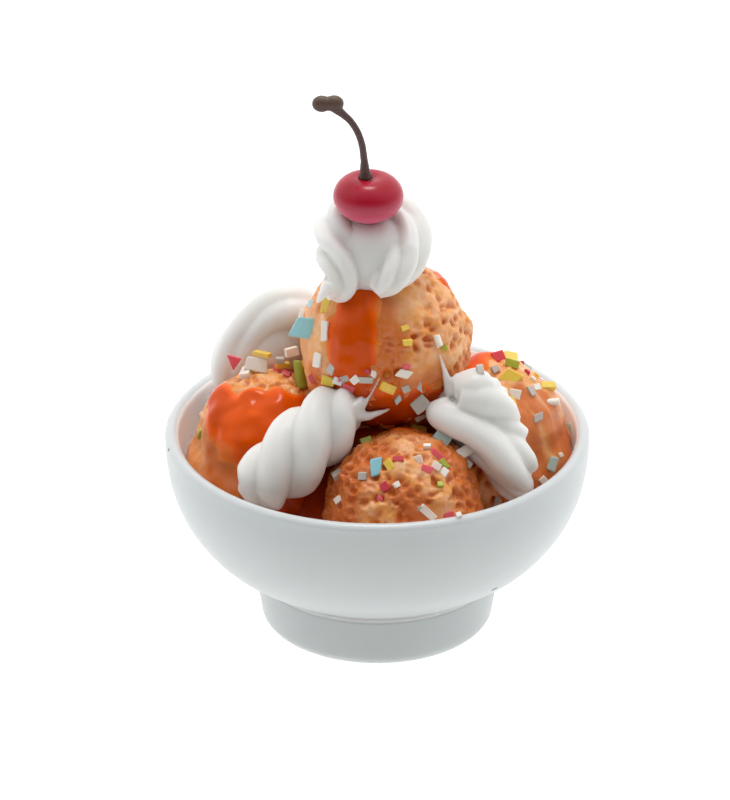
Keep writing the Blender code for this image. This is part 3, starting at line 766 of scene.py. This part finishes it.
def nozzle_section(ridges, depth):
    """The closed outline that a star nozzle gives: round ridges with creases between them."""
    bpy.ops.curve.primitive_bezier_circle_add(radius=1)
    section = bpy.context.object
    section.data.splines.clear()
    spline = section.data.splines.new("POLY")
    count = ridges * SECTION_STEPS
    spline.points.add(count - 1)
    for index, point in enumerate(spline.points):
        angle = math.tau * index / count
        radius = 1 - depth + depth * abs(math.cos(angle * ridges / 2))
        point.co = (radius * math.cos(angle), radius * math.sin(angle), 0, 1)
    spline.use_cyclic_u = True
    return section


def piped(name, path, section, twists):
    """A rope of cream along points with a radius each, its section turning and swelling on the way."""
    bpy.ops.curve.primitive_bezier_curve_add()
    rope = bpy.context.object
    rope.name = name
    rope.data.splines.clear()
    rope.data.dimensions = "3D"
    rope.data.resolution_u = 20
    rope.data.bevel_mode = "OBJECT"
    rope.data.bevel_object = section
    rope.data.use_fill_caps = True
    spline = rope.data.splines.new("BEZIER")
    spline.bezier_points.add(len(path) - 1)
    for index, (point, (x, y, z, radius)) in enumerate(zip(spline.bezier_points, path)):
        point.co = Vector((x, y, z)) * MM
        point.handle_left_type = "AUTO"
        point.handle_right_type = "AUTO"
        point.radius = radius * MM
        point.tilt = -math.tau * twists * index / (len(path) - 1)
    bpy.ops.object.select_all(action="DESELECT")
    rope.select_set(True)
    bpy.context.view_layer.objects.active = rope
    bpy.ops.object.convert(target="MESH")
    bpy.data.objects.remove(section)
    return bpy.context.object


def fused(rope):
    """Melts a rope into itself where it lies on itself, and softens the voxels."""
    remesh = rope.modifiers.new("Remesh", "REMESH")
    remesh.mode = "VOXEL"
    remesh.voxel_size = CREAM_VOXEL
    bpy.ops.object.modifier_apply(modifier=remesh.name)
    soften = rope.modifiers.new("Smooth", "SMOOTH")
    soften.factor = 0.5
    soften.iterations = 3
    bpy.ops.object.modifier_apply(modifier=soften.name)
    bpy.ops.object.shade_smooth()


def in_photo(across, down, forward):
    """The point in front of the middle by so many millimetres that shows at a dot of the photo."""
    direction = line_of_sight(across, down)
    return camera.location + direction * ((-forward * MM - camera.location.y) / direction.y)


silicone = white_silicone()
cream_pieces = []
for name, rope in CREAM_ROPES.items():
    cream = piped(name + "_piping", rope.path, nozzle_section(rope.ridges, rope.depth), rope.twists)
    if rope.heart:
        bpy.ops.mesh.primitive_ico_sphere_add(
            subdivisions=4, radius=rope.heart[3] * MM, location=Vector(rope.heart[:3]) * MM
        )
        heart = bpy.context.object
        bpy.ops.object.select_all(action="DESELECT")
        heart.select_set(True)
        cream.select_set(True)
        bpy.context.view_layer.objects.active = cream
        bpy.ops.object.join()
    for strand in CREAM_STRANDS.get(name, ()):
        path = [(*(in_photo(*place[:3]) / MM), place[3]) for place in strand]
        drawn_out = piped("strand", path, nozzle_section(3, 0.1), 0.2)
        cream.select_set(True)
        drawn_out.select_set(True)
        bpy.context.view_layer.objects.active = cream
        bpy.ops.object.join()
    bpy.context.view_layer.objects.active = cream
    fused(cream)
    cream.data.materials.clear()
    cream.data.materials.append(silicone)
    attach(cream, "root")
    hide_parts(name)
    cream_pieces.append(cream)


# Cherry. A flattened bead of cherry red resin with a dimple on top, buffed to a soft shine.
CHERRY_MIDDLE = Vector((-0.53, -0.6, 27.8)) * MM
CHERRY_RADIUS = 2.05 * MM
CHERRY_HALF_HEIGHT = 1.5 * MM
# Painted light: below this height the red turns paler pink towards the bottom, standing in for light reflected up
# from the cream
PAINTED_LIGHT_TOP = CHERRY_MIDDLE.z + 0.5 * MM
DIMPLE_WIDTH = 0.42
DIMPLE_DEPTH = 0.3
CHERRY_RED = "#9e0418"
CHERRY_LIGHT = "#b41e38"
CHERRY_PAINTED_LIGHT = "#d4607a"


def cherry_resin():
    # Tinted resin: deep red, a little paler in clouds, soft reflections, and painted light that turns it paler pink
    # towards the bottom
    material, tree, shader = new_material(
        "buffed cherry resin",
        {
            "Roughness": 0.27,
            "IOR": 1.45,
            "Specular IOR Level": 0.35,
            "Subsurface Weight": 0.1,
            "Subsurface Radius": (1.0, 0.1, 0.15),
            "Subsurface Scale": 0.5 * MM,
        },
    )
    place = add(tree, "ShaderNodeTexCoord").outputs["Object"]
    clouds = add(tree, "ShaderNodeTexNoise", {"Vector": place, "Scale": 1 / (1.5 * MM), "Detail": 3.0}).outputs[0]
    tint = add(
        tree, "ShaderNodeMix", {0: clouds, 6: linear(CHERRY_RED), 7: linear(CHERRY_LIGHT)}, data_type="RGBA"
    ).outputs[2]
    height = add(tree, "ShaderNodeSeparateXYZ", {"Vector": place}).outputs["Z"]
    # Painted light: paler pink towards the bottom of the cherry
    painted_light = add(
        tree,
        "ShaderNodeMapRange",
        {"Value": height, "From Min": PAINTED_LIGHT_TOP, "From Max": PAINTED_LIGHT_TOP - 1.5 * MM, "To Max": 0.85},
    ).outputs[0]
    tint = add(tree, "ShaderNodeMix", {0: painted_light, 6: tint, 7: linear(CHERRY_PAINTED_LIGHT)}, data_type="RGBA").outputs[2]
    tree.links.new(tint, shader.inputs["Base Color"])
    waves = add(tree, "ShaderNodeTexNoise", {"Vector": place, "Scale": 1 / (0.4 * MM), "Detail": 3.0}).outputs[0]
    bump = add(tree, "ShaderNodeBump", {"Height": waves, "Distance": 0.02 * MM, "Strength": 0.4}).outputs[0]
    tree.links.new(bump, shader.inputs["Normal"])
    return material


outline = []
for step in range(49):
    angle = math.pi * step / 48
    size = 1 - DIMPLE_DEPTH * math.exp(-(((math.pi - angle) / DIMPLE_WIDTH) ** 2))
    outline.append((CHERRY_RADIUS * size * math.sin(angle), -CHERRY_HALF_HEIGHT * size * math.cos(angle)))
outline[0] = (0, outline[0][1])
outline[-1] = (0, outline[-1][1])
cherry = turned("cherry_bead", outline, 96)
for corner in cherry.data.vertices:
    corner.co += CHERRY_MIDDLE
cherry.data.materials.append(cherry_resin())
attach(cherry, "root")
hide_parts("cherry")


# Stem. A wire thickly painted brown, glued into the dimple, its tip bent over and dipped into paint
# twice, which left a knob with two lobes.
STEM_POINTS = (
    (-0.69, 28.95, 2.4), (-0.73, 29.35, 1.5), (-0.78, 30.15, 1.1), (-1.0, 31.45, 1.05),
    (-1.5, 32.48, 1.05), (-1.95, 32.96, 1.15), (-2.4, 33.35, 1.5),
)
STEM_RADIUS = 0.2 * MM
STEM_KNOB = ((-2.5, 33.68), (-3.22, 33.66))
KNOB_RADIUS = 0.5 * MM
STEM_BROWN = "#5c3f39"
STEM_UMBER = "#45302a"
KNOB_OLIVE = "#5f4936"


def painted_wire():
    # Acrylic paint on wire: brown with darker brush marks, olive towards the knob, a dull shine
    material, tree, shader = new_material("brown painted wire", {"IOR": 1.48, "Roughness": 0.5})
    place = add(tree, "ShaderNodeTexCoord").outputs["Object"]
    height = add(tree, "ShaderNodeSeparateXYZ", {"Vector": place}).outputs["Z"]
    marks = add(tree, "ShaderNodeTexNoise", {"Vector": place, "Scale": 1 / (0.3 * MM), "Detail": 4.0}).outputs[0]
    tint = add(
        tree, "ShaderNodeMix", {0: marks, 6: linear(STEM_BROWN), 7: linear(STEM_UMBER)}, data_type="RGBA"
    ).outputs[2]
    upper = add(
        tree, "ShaderNodeMapRange", {"Value": height, "From Min": 33.4 * MM, "From Max": 34.2 * MM}
    ).outputs[0]
    tint = add(tree, "ShaderNodeMix", {0: upper, 6: tint, 7: linear(KNOB_OLIVE)}, data_type="RGBA").outputs[2]
    tree.links.new(tint, shader.inputs["Base Color"])
    bump = add(tree, "ShaderNodeBump", {"Height": marks, "Distance": 0.05 * MM, "Strength": 0.6}).outputs[0]
    tree.links.new(bump, shader.inputs["Normal"])
    return material


bpy.ops.object.select_all(action="DESELECT")
bpy.ops.curve.primitive_bezier_circle_add(radius=STEM_RADIUS)
wire_section = bpy.context.object
bpy.ops.curve.primitive_bezier_curve_add()
stem = bpy.context.object
stem.name = "stem_wire"
stem.data.splines.clear()
stem.data.dimensions = "3D"
stem.data.resolution_u = 12
stem.data.bevel_mode = "OBJECT"
stem.data.bevel_object = wire_section
stem.data.use_fill_caps = True
spline = stem.data.splines.new("BEZIER")
spline.bezier_points.add(len(STEM_POINTS) - 1)
for point, (x, z, swell) in zip(spline.bezier_points, STEM_POINTS):
    point.co = Vector((x * MM, CHERRY_MIDDLE.y, z * MM))
    point.handle_left_type = "AUTO"
    point.handle_right_type = "AUTO"
    point.radius = swell
bpy.ops.object.select_all(action="DESELECT")
stem.select_set(True)
bpy.context.view_layer.objects.active = stem
bpy.ops.object.convert(target="MESH")
bpy.data.objects.remove(wire_section)
stem = bpy.context.object
for x, z in STEM_KNOB:
    bpy.ops.mesh.primitive_ico_sphere_add(
        subdivisions=4, radius=KNOB_RADIUS, location=(x * MM, CHERRY_MIDDLE.y, z * MM), scale=(1.15, 0.9, 1)
    )
    stem.select_set(True)
    bpy.context.view_layer.objects.active = stem
    bpy.ops.object.join()
fused(stem)
stem.data.materials.clear()
stem.data.materials.append(painted_wire())
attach(stem, "root")
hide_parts("cherry_stem")


# Sprinkles. Thin canes of coloured clay, cut with a razor blade into blocks, wedges and rods about
# a millimetre long, pressed into the clay and the wet sauce. Those that the photo shows lie where
# it shows them, and the others were strewn.
Sprinkle = namedtuple("Sprinkle", "colour shape across down length width angle facing proud", defaults=(0,))
SPRINKLE_COLOURS = {
    "white": ("#faf4ea", "#f1e4d2"),
    "grey": ("#c6c2b8", "#b3aa9f"),
    "blue": ("#8fcdd8", "#a6d4d8"),
    "teal": ("#b7c9c0", "#9fb5ad"),
    "pink": ("#e9505a", "#ea6a72"),
    "crimson": ("#c92f3c", "#b5243a"),
    "yellow": ("#f6d95a", "#e8bc3c"),
    "green": ("#b2bc3c", "#9aa032"),
}
SPRINKLES = (
    Sprinkle("blue", "rhombus", 304, 328, 1.55, 1.35, -8, 1.0, 0.8),
    Sprinkle("yellow", "block", 326.5, 306, 1.0, 0.6, 85, 0.6),
    Sprinkle("white", "block", 326, 331, 1.3, 0.45, 88, 0.6),
    Sprinkle("white", "block", 319, 360, 0.95, 0.55, 75, 0.6),
    Sprinkle("pink", "wedge", 234, 361, 1.15, 0.9, -71, 1.0),
    Sprinkle("white", "block", 256, 365, 1.45, 0.9, -10, 0.7, 0.3),
    Sprinkle("yellow", "block", 262, 354, 1.2, 0.3, -5, 0.2),
    Sprinkle("white", "block", 292, 352, 0.9, 0.6, 10, 0.5),
    Sprinkle("grey", "block", 280, 360, 0.6, 0.35, 0, 0.5),
    Sprinkle("yellow", "block", 283, 366, 0.9, 0.45, -10, 0.4),
    Sprinkle("pink", "block", 286, 374, 0.6, 0.4, -20, 0.4),
    Sprinkle("green", "rod", 300, 373, 1.9, 0.85, 96, 1.0, 0.5),
    Sprinkle("crimson", "block", 313, 378, 0.6, 0.6, 30, 0.5),
    Sprinkle("yellow", "block", 329, 381, 0.9, 0.6, -15, 0.6),
    Sprinkle("white", "block", 338, 381, 0.6, 0.5, -15, 0.5),
    Sprinkle("pink", "block", 348, 389, 0.8, 0.6, -20, 0.5),
    Sprinkle("white", "block", 355, 380, 0.55, 0.5, 40, 0.7),
    Sprinkle("grey", "block", 366, 380, 0.95, 0.4, 0, 0.6),
    Sprinkle("yellow", "block", 388, 388, 1.0, 0.6, -25, 0.4),
    Sprinkle("grey", "block", 406, 389, 0.5, 0.45, 20, 0.5),
    Sprinkle("white", "rhombus", 404, 374, 0.85, 0.55, -15, 0.7),
    Sprinkle("grey", "wedge", 420, 387, 0.9, 0.45, 100, 0.8),
    Sprinkle("yellow", "block", 405, 328, 0.5, 0.35, 20, 0.3),
    Sprinkle("yellow", "block", 407, 342, 0.6, 0.4, 0, 0.3),
    Sprinkle("white", "rod", 438, 341, 0.8, 0.5, 110, 0.6),
    Sprinkle("green", "block", 444, 348, 0.45, 0.3, 20, 0.3),
    Sprinkle("blue", "rhombus", 376, 467, 0.75, 1.1, 15, 0.8),
    Sprinkle("grey", "block", 363, 476, 0.55, 0.5, 0, 0.6),
    Sprinkle("crimson", "block", 398, 459, 0.7, 0.35, 0, 0.5),
    Sprinkle("white", "block", 417, 461, 0.75, 0.7, 20, 0.7),
    Sprinkle("pink", "block", 437, 457, 1.1, 0.7, -35, 0.6),
    Sprinkle("pink", "block", 427, 469, 0.75, 0.45, -20, 0.5),
    Sprinkle("white", "block", 436, 466, 0.6, 0.5, -30, 0.7),
    Sprinkle("white", "block", 444, 472, 0.55, 0.5, 50, 0.7),
    Sprinkle("yellow", "block", 390, 465, 0.75, 0.55, -50, 0.2),
    Sprinkle("white", "block", 396, 485, 0.4, 0.35, 30, 0.6),
    Sprinkle("crimson", "block", 385, 487, 0.55, 0.6, 30, 0.4),
    Sprinkle("green", "block", 440, 486, 0.4, 0.4, 10, 0.4),
    Sprinkle("white", "block", 428, 513, 1.25, 0.5, -40, 0.7),
    Sprinkle("pink", "block", 448, 516, 0.9, 0.45, 15, 0.5),
    Sprinkle("white", "block", 459, 516, 0.35, 0.3, 20, 0.6),
    Sprinkle("white", "block", 338, 500, 0.55, 0.4, 30, 0.6),
    Sprinkle("white", "block", 427, 448, 0.5, 0.25, 0, 0.3),
    Sprinkle("grey", "block", 339, 473, 0.95, 0.6, 35, 0.4),
    Sprinkle("teal", "block", 442, 438, 1.1, 0.8, -35, 0.7),
    Sprinkle("white", "block", 463, 453, 1.2, 0.7, 35, 0.6),
    Sprinkle("white", "block", 468, 463, 0.6, 0.45, -40, 0.6),
    Sprinkle("green", "block", 366, 441, 0.75, 0.45, 20, 0.3),
    Sprinkle("grey", "block", 420, 404, 1.1, 0.95, 40, 0.5),
    Sprinkle("white", "block", 422, 416, 1.05, 0.5, 25, 0.7),
    Sprinkle("yellow", "block", 419, 428, 1.05, 0.35, -5, 0.3),
    Sprinkle("pink", "block", 498, 357, 0.85, 0.7, 20, 0.8),
    Sprinkle("green", "block", 512, 364, 0.9, 0.55, -15, 0.8),
    Sprinkle("yellow", "rhombus", 510, 377, 1.15, 1.0, -25, 0.8),
    Sprinkle("white", "block", 515, 395, 0.75, 0.85, -10, 0.7),
    Sprinkle("grey", "block", 480, 371, 0.45, 0.7, 10, 0.6),
    Sprinkle("grey", "block", 495, 370, 0.5, 0.5, 30, 0.6),
    Sprinkle("yellow", "block", 548, 386, 1.0, 0.5, 10, 0.3),
    Sprinkle("white", "rod", 552, 402, 0.95, 0.5, 5, 0.6),
    Sprinkle("teal", "block", 570, 430, 0.75, 0.7, -30, 0.7),
    Sprinkle("teal", "block", 552, 464, 0.95, 0.6, 70, 0.8),
    Sprinkle("white", "block", 560, 455, 0.3, 0.3, 20, 0.6),
    Sprinkle("white", "block", 543, 480, 0.5, 0.5, 40, 0.6),
    Sprinkle("grey", "block", 498, 500, 0.85, 0.5, 75, 0.8),
)
SPRINKLE_THICKNESS = 0.42 * MM
SPRINKLE_SHRINK = 0.9
SPRINKLE_SUNK = 0.23 * MM
SPRINKLE_TILT = 0.25
CREST_BACK = 1.0 * MM
CREST_END = 320
SPRINKLE_UNEVEN = 0.07
STREWN_SEED = 5
STREWN_ELEVATIONS = (12, 72)
STREWN_KINDS = (
    ("block", (0.9 * MM, 0.6 * MM, 0.5 * MM)),
    ("block", (0.9 * MM, 0.6 * MM, 0.5 * MM)),
    ("wedge", (1.1 * MM, 0.9 * MM, 0.5 * MM)),
    ("rhombus", (1.0 * MM, 0.9 * MM, 0.5 * MM)),
)
SCATTER_COLOURS = ("white", "white", "white", "yellow", "pink", "grey", "teal", "blue", "green", "crimson")
# Zones of the smallest chips: scoop, how many, azimuths from and to, elevations from and to
SCATTER_ZONES = (
    ("scoop_front", 5, 215, 345, 15, 75),
    ("scoop_top", 12, 225, 320, -20, 15),
    ("scoop_top", 10, 10, 190, -10, 60),
    ("scoop_left", 10, 30, 160, 25, 75),
    ("scoop_left", 8, 90, 190, 0, 50),
    ("scoop_right", 10, 280, 380, 30, 80),
    ("scoop_right", 12, 0, 110, 10, 70),
    ("scoop_back", 24, 10, 190, 10, 75),
)


def sprinkle_clay(name, main, other):
    # Polymer clay, dyed right through: matt cut faces, a little lighter or darker from chip to chip
    material, tree, shader = new_material(
        name + " sprinkle clay",
        {"Roughness": 0.42, "IOR": 1.5, "Subsurface Weight": 0.2, "Subsurface Scale": 0.3 * MM, "Coat Weight": 0.3},
    )
    place = add(tree, "ShaderNodeTexCoord").outputs["Object"]
    shade = add(tree, "ShaderNodeAttribute", attribute_name="shade").outputs["Fac"]
    mottle = add(tree, "ShaderNodeTexNoise", {"Vector": place, "Scale": 1 / (0.3 * MM), "Detail": 2.0}).outputs[0]
    share = add(tree, "ShaderNodeMath", {0: mottle, 1: 0.6, 2: shade}, operation="MULTIPLY_ADD").outputs[0]
    ranged = add(tree, "ShaderNodeMapRange", {"Value": share, "From Min": 0.2, "From Max": 1.1}).outputs[0]
    tint = add(tree, "ShaderNodeMix", {0: ranged, 6: linear(main), 7: linear(other)}, data_type="RGBA").outputs[2]
    tree.links.new(tint, shader.inputs["Base Color"])
    bump = add(tree, "ShaderNodeBump", {"Height": mottle, "Distance": 0.03 * MM, "Strength": 0.4}).outputs[0]
    tree.links.new(bump, shader.inputs["Normal"])
    return material


def sprinkle_shapes():
    """The four cut shapes, each one unit long, wide and thick and modelled once."""
    shapes = {}
    for shape in ("block", "rhombus", "wedge", "rod"):
        bpy.ops.object.select_all(action="DESELECT")
        if shape in ("block", "rhombus"):
            bpy.ops.mesh.primitive_cube_add(size=1)
        elif shape == "wedge":
            bpy.ops.mesh.primitive_cylinder_add(vertices=3, radius=0.62, depth=1)
        else:
            bpy.ops.mesh.primitive_cylinder_add(vertices=14, radius=0.5, depth=1)
        made = bpy.context.object
        if shape == "rhombus":
            for corner in made.data.vertices:
                corner.co.x += 0.35 * corner.co.y
        if shape == "rod":
            made.data.transform(Matrix.Rotation(math.radians(90), 4, "Y"))
        bpy.ops.object.mode_set(mode="EDIT")
        bpy.ops.mesh.select_all(action="SELECT")
        bpy.ops.mesh.bevel(offset=0.11, segments=3, affect="EDGES")
        bpy.ops.object.mode_set(mode="OBJECT")
        shapes[shape] = made.data.copy()
        bpy.data.objects.remove(made)
    return shapes


def surface_tree(pieces):
    """A search tree over the finished surfaces that sprinkles can lie on."""
    corners = []
    faces = []
    for piece in pieces:
        first = len(corners)
        corners += [corner.co.copy() for corner in piece.data.vertices]
        faces += [[first + index for index in face.vertices] for face in piece.data.polygons]
    return BVHTree.FromPolygons(corners, faces)


def lay(chips, colour, mesh, spot, thin, along, sizes, shade):
    """Adds one chip to its colour: thin is the direction of its thickness, along that of its length."""
    across = thin.cross(along).normalized()
    along = across.cross(thin).normalized()
    turn = Matrix((along, across, thin)).transposed().to_4x4()
    chip = bpy.data.objects.new("chip", mesh.copy())
    lean = (draw.uniform(-0.2, 0.2), draw.uniform(-0.2, 0.2))
    for corner in chip.data.vertices:
        corner.co.x *= 1 + lean[0] * corner.co.y
        corner.co.y *= 1 + lean[1] * corner.co.x
        corner.co.z *= 1 + SPRINKLE_UNEVEN * 4 * corner.co.x * lean[0]
    chip.data.transform(Matrix.Translation(spot) @ turn @ Matrix.Diagonal((*sizes, 1)))
    store(chip, "shade", [shade] * len(chip.data.vertices))
    bpy.context.scene.collection.objects.link(chip)
    chips[colour].append(chip)


shapes = sprinkle_shapes()
ground = surface_tree([*clay_pieces.values(), *glaze_pieces, *cream_pieces, pool, bowl])
chips = {colour: [] for colour in SPRINKLE_COLOURS}
draw = random.Random(17)
for sprinkle in SPRINKLES:
    spot, normal, _, _ = ground.ray_cast(camera.location, line_of_sight(sprinkle.across, sprinkle.down))
    tilt = Vector((draw.uniform(-1, 1), draw.uniform(-1, 1), draw.uniform(-1, 1))) * SPRINKLE_TILT
    tilt *= 1 - 0.6 * sprinkle.facing
    thin = (normal.lerp(to_camera, sprinkle.facing).normalized() + tilt).normalized()
    angle = math.radians(sprinkle.angle)
    along = image_right * math.cos(angle) + image_up * math.sin(angle)
    thickness = SPRINKLE_THICKNESS * draw.uniform(0.75, 1.25)
    if sprinkle.shape == "rod":
        thickness = sprinkle.width * SPRINKLE_SHRINK * MM
    if spot.y > CREST_BACK and sprinkle.across < CREST_END:
        spot = in_photo(sprinkle.across, sprinkle.down, -CREST_BACK / MM)
    spot = spot + normal * (thickness / 2 - SPRINKLE_SUNK) + to_camera * sprinkle.proud * MM
    sizes = (sprinkle.length * SPRINKLE_SHRINK * MM, sprinkle.width * SPRINKLE_SHRINK * MM, thickness)
    lay(chips, sprinkle.colour, shapes[sprinkle.shape], spot, thin, along, sizes, draw.random() * 0.6)



def scatter(scoop, azimuth, elevation, spin, shape, size):
    """Adds a chip at a direction from a scoop's middle, unless cream or a neighbour is in the way."""
    middle = Vector(scoop.middle) * MM
    direction = direction_of(azimuth, elevation)
    start = middle + direction * 12 * MM
    spot, normal, _, _ = ground.ray_cast(start, -direction)
    if spot is None or (spot - middle).length > plain_reach(scoop, direction) + 0.9 * MM:
        return
    along = Matrix.Rotation(math.radians(spin), 3, normal) @ normal.orthogonal()
    tilt = Vector((draw.uniform(-1, 1), draw.uniform(-1, 1), draw.uniform(-1, 1))) * SPRINKLE_TILT
    spot = spot + normal * (size[2] / 2 - SPRINKLE_SUNK)
    colour = draw.choice(SCATTER_COLOURS)
    lay(chips, colour, shapes[shape], spot, (normal + tilt).normalized(), along, size, draw.random() * 0.6)


strewn = random.Random(STREWN_SEED)
for scoop in SCOOPS.values():
    for _ in range(scoop.strewn):
        place = (strewn.uniform(10, 190), strewn.uniform(*STREWN_ELEVATIONS), strewn.uniform(0, 180))
        shape, size = strewn.choice(STREWN_KINDS)
        scatter(scoop, *place, shape, size)
for name, count, first, last, lowest, highest in SCATTER_ZONES:
    for _ in range(count):
        place = (draw.uniform(first, last), draw.uniform(lowest, highest), draw.uniform(0, 180))
        length = draw.uniform(0.3, 0.7) * MM
        size = (length, length * draw.uniform(0.5, 0.9), draw.uniform(0.25, 0.4) * MM)
        scatter(SCOOPS[name], *place, draw.choice(("block", "block", "rhombus", "wedge")), size)

for colour, members in chips.items():
    bpy.ops.object.select_all(action="DESELECT")
    for chip in members:
        chip.select_set(True)
    bpy.context.view_layer.objects.active = members[0]
    bpy.ops.object.join()
    joined = bpy.context.object
    joined.name = "sprinkles_" + colour
    joined.data.materials.append(sprinkle_clay(colour, *SPRINKLE_COLOURS[colour]))
    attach(joined, "root")


# Floor and light. A frosted acrylic table lit from below in a light tent. The tent is brightest
# above and behind, dimmer behind the camera, and one lamp above gives the small highlights.
FLOOR_SIZE = 900 * MM
FLOOR_COLOUR = "#8a8e8e"
FLOOR_GLOW = 0.9
TENT_FRONT = 0.02
TENT_TOP = 1.24
TENT_WHITE = "#fbfcff"
LAMP_PLACE = Vector((5, 60, 260)) * MM
LAMP_SIZE = 50 * MM
LAMP_RADIANCE = 27

bpy.ops.object.select_all(action="DESELECT")
bpy.ops.mesh.primitive_plane_add(size=FLOOR_SIZE)
floor = bpy.context.object
floor.name = "floor"
table, tree, shader = new_material("frosted acrylic light table", {"Roughness": 0.6})
place = add(tree, "ShaderNodeTexCoord").outputs["Object"]
faint = add(tree, "ShaderNodeTexNoise", {"Vector": place, "Scale": 1 / (30 * MM)}).outputs[0]
tint = add(
    tree, "ShaderNodeMix", {0: faint, 6: linear(FLOOR_COLOUR), 7: linear("#979b9b")}, data_type="RGBA"
).outputs[2]
tree.links.new(tint, shader.inputs["Base Color"])
shader.inputs["Emission Color"].default_value = linear("#ffffff")
shader.inputs["Emission Strength"].default_value = FLOOR_GLOW
floor.data.materials.append(table)

world = bpy.data.worlds.new("light tent")
world.use_nodes = True
tree = world.node_tree
background = tree.nodes["Background"]
towards = add(tree, "ShaderNodeTexCoord").outputs["Generated"]
upwards = add(
    tree, "ShaderNodeVectorMath", {0: towards, 1: (0.0, 0.6, 0.8)}, operation="DOT_PRODUCT"
).outputs["Value"]
sideways = add(tree, "ShaderNodeSeparateXYZ", {0: towards}).outputs["X"]
sideways = add(tree, "ShaderNodeMath", {0: sideways}, operation="ABSOLUTE").outputs[0]
upwards = add(tree, "ShaderNodeMath", {0: sideways, 1: 0.42, 2: upwards}, operation="MULTIPLY_ADD").outputs[0]
strength = add(
    tree,
    "ShaderNodeMapRange",
    {"Value": upwards, "From Min": 0.0, "From Max": 0.8, "To Min": TENT_FRONT, "To Max": TENT_TOP},
).outputs[0]
background.inputs["Color"].default_value = linear(TENT_WHITE)
tree.links.new(strength, background.inputs["Strength"])
bpy.context.scene.world = world

lamp = bpy.data.lights.new("lamp_above", "AREA")
lamp.size = LAMP_SIZE
lamp.energy = LAMP_RADIANCE * math.pi * LAMP_SIZE**2
holder = bpy.data.objects.new("lamp_above", lamp)
bpy.context.scene.collection.objects.link(holder)
holder.location = LAMP_PLACE
holder.rotation_euler = (LAMP_PLACE - CAMERA_AIM).to_track_quat("Z", "Y").to_euler()
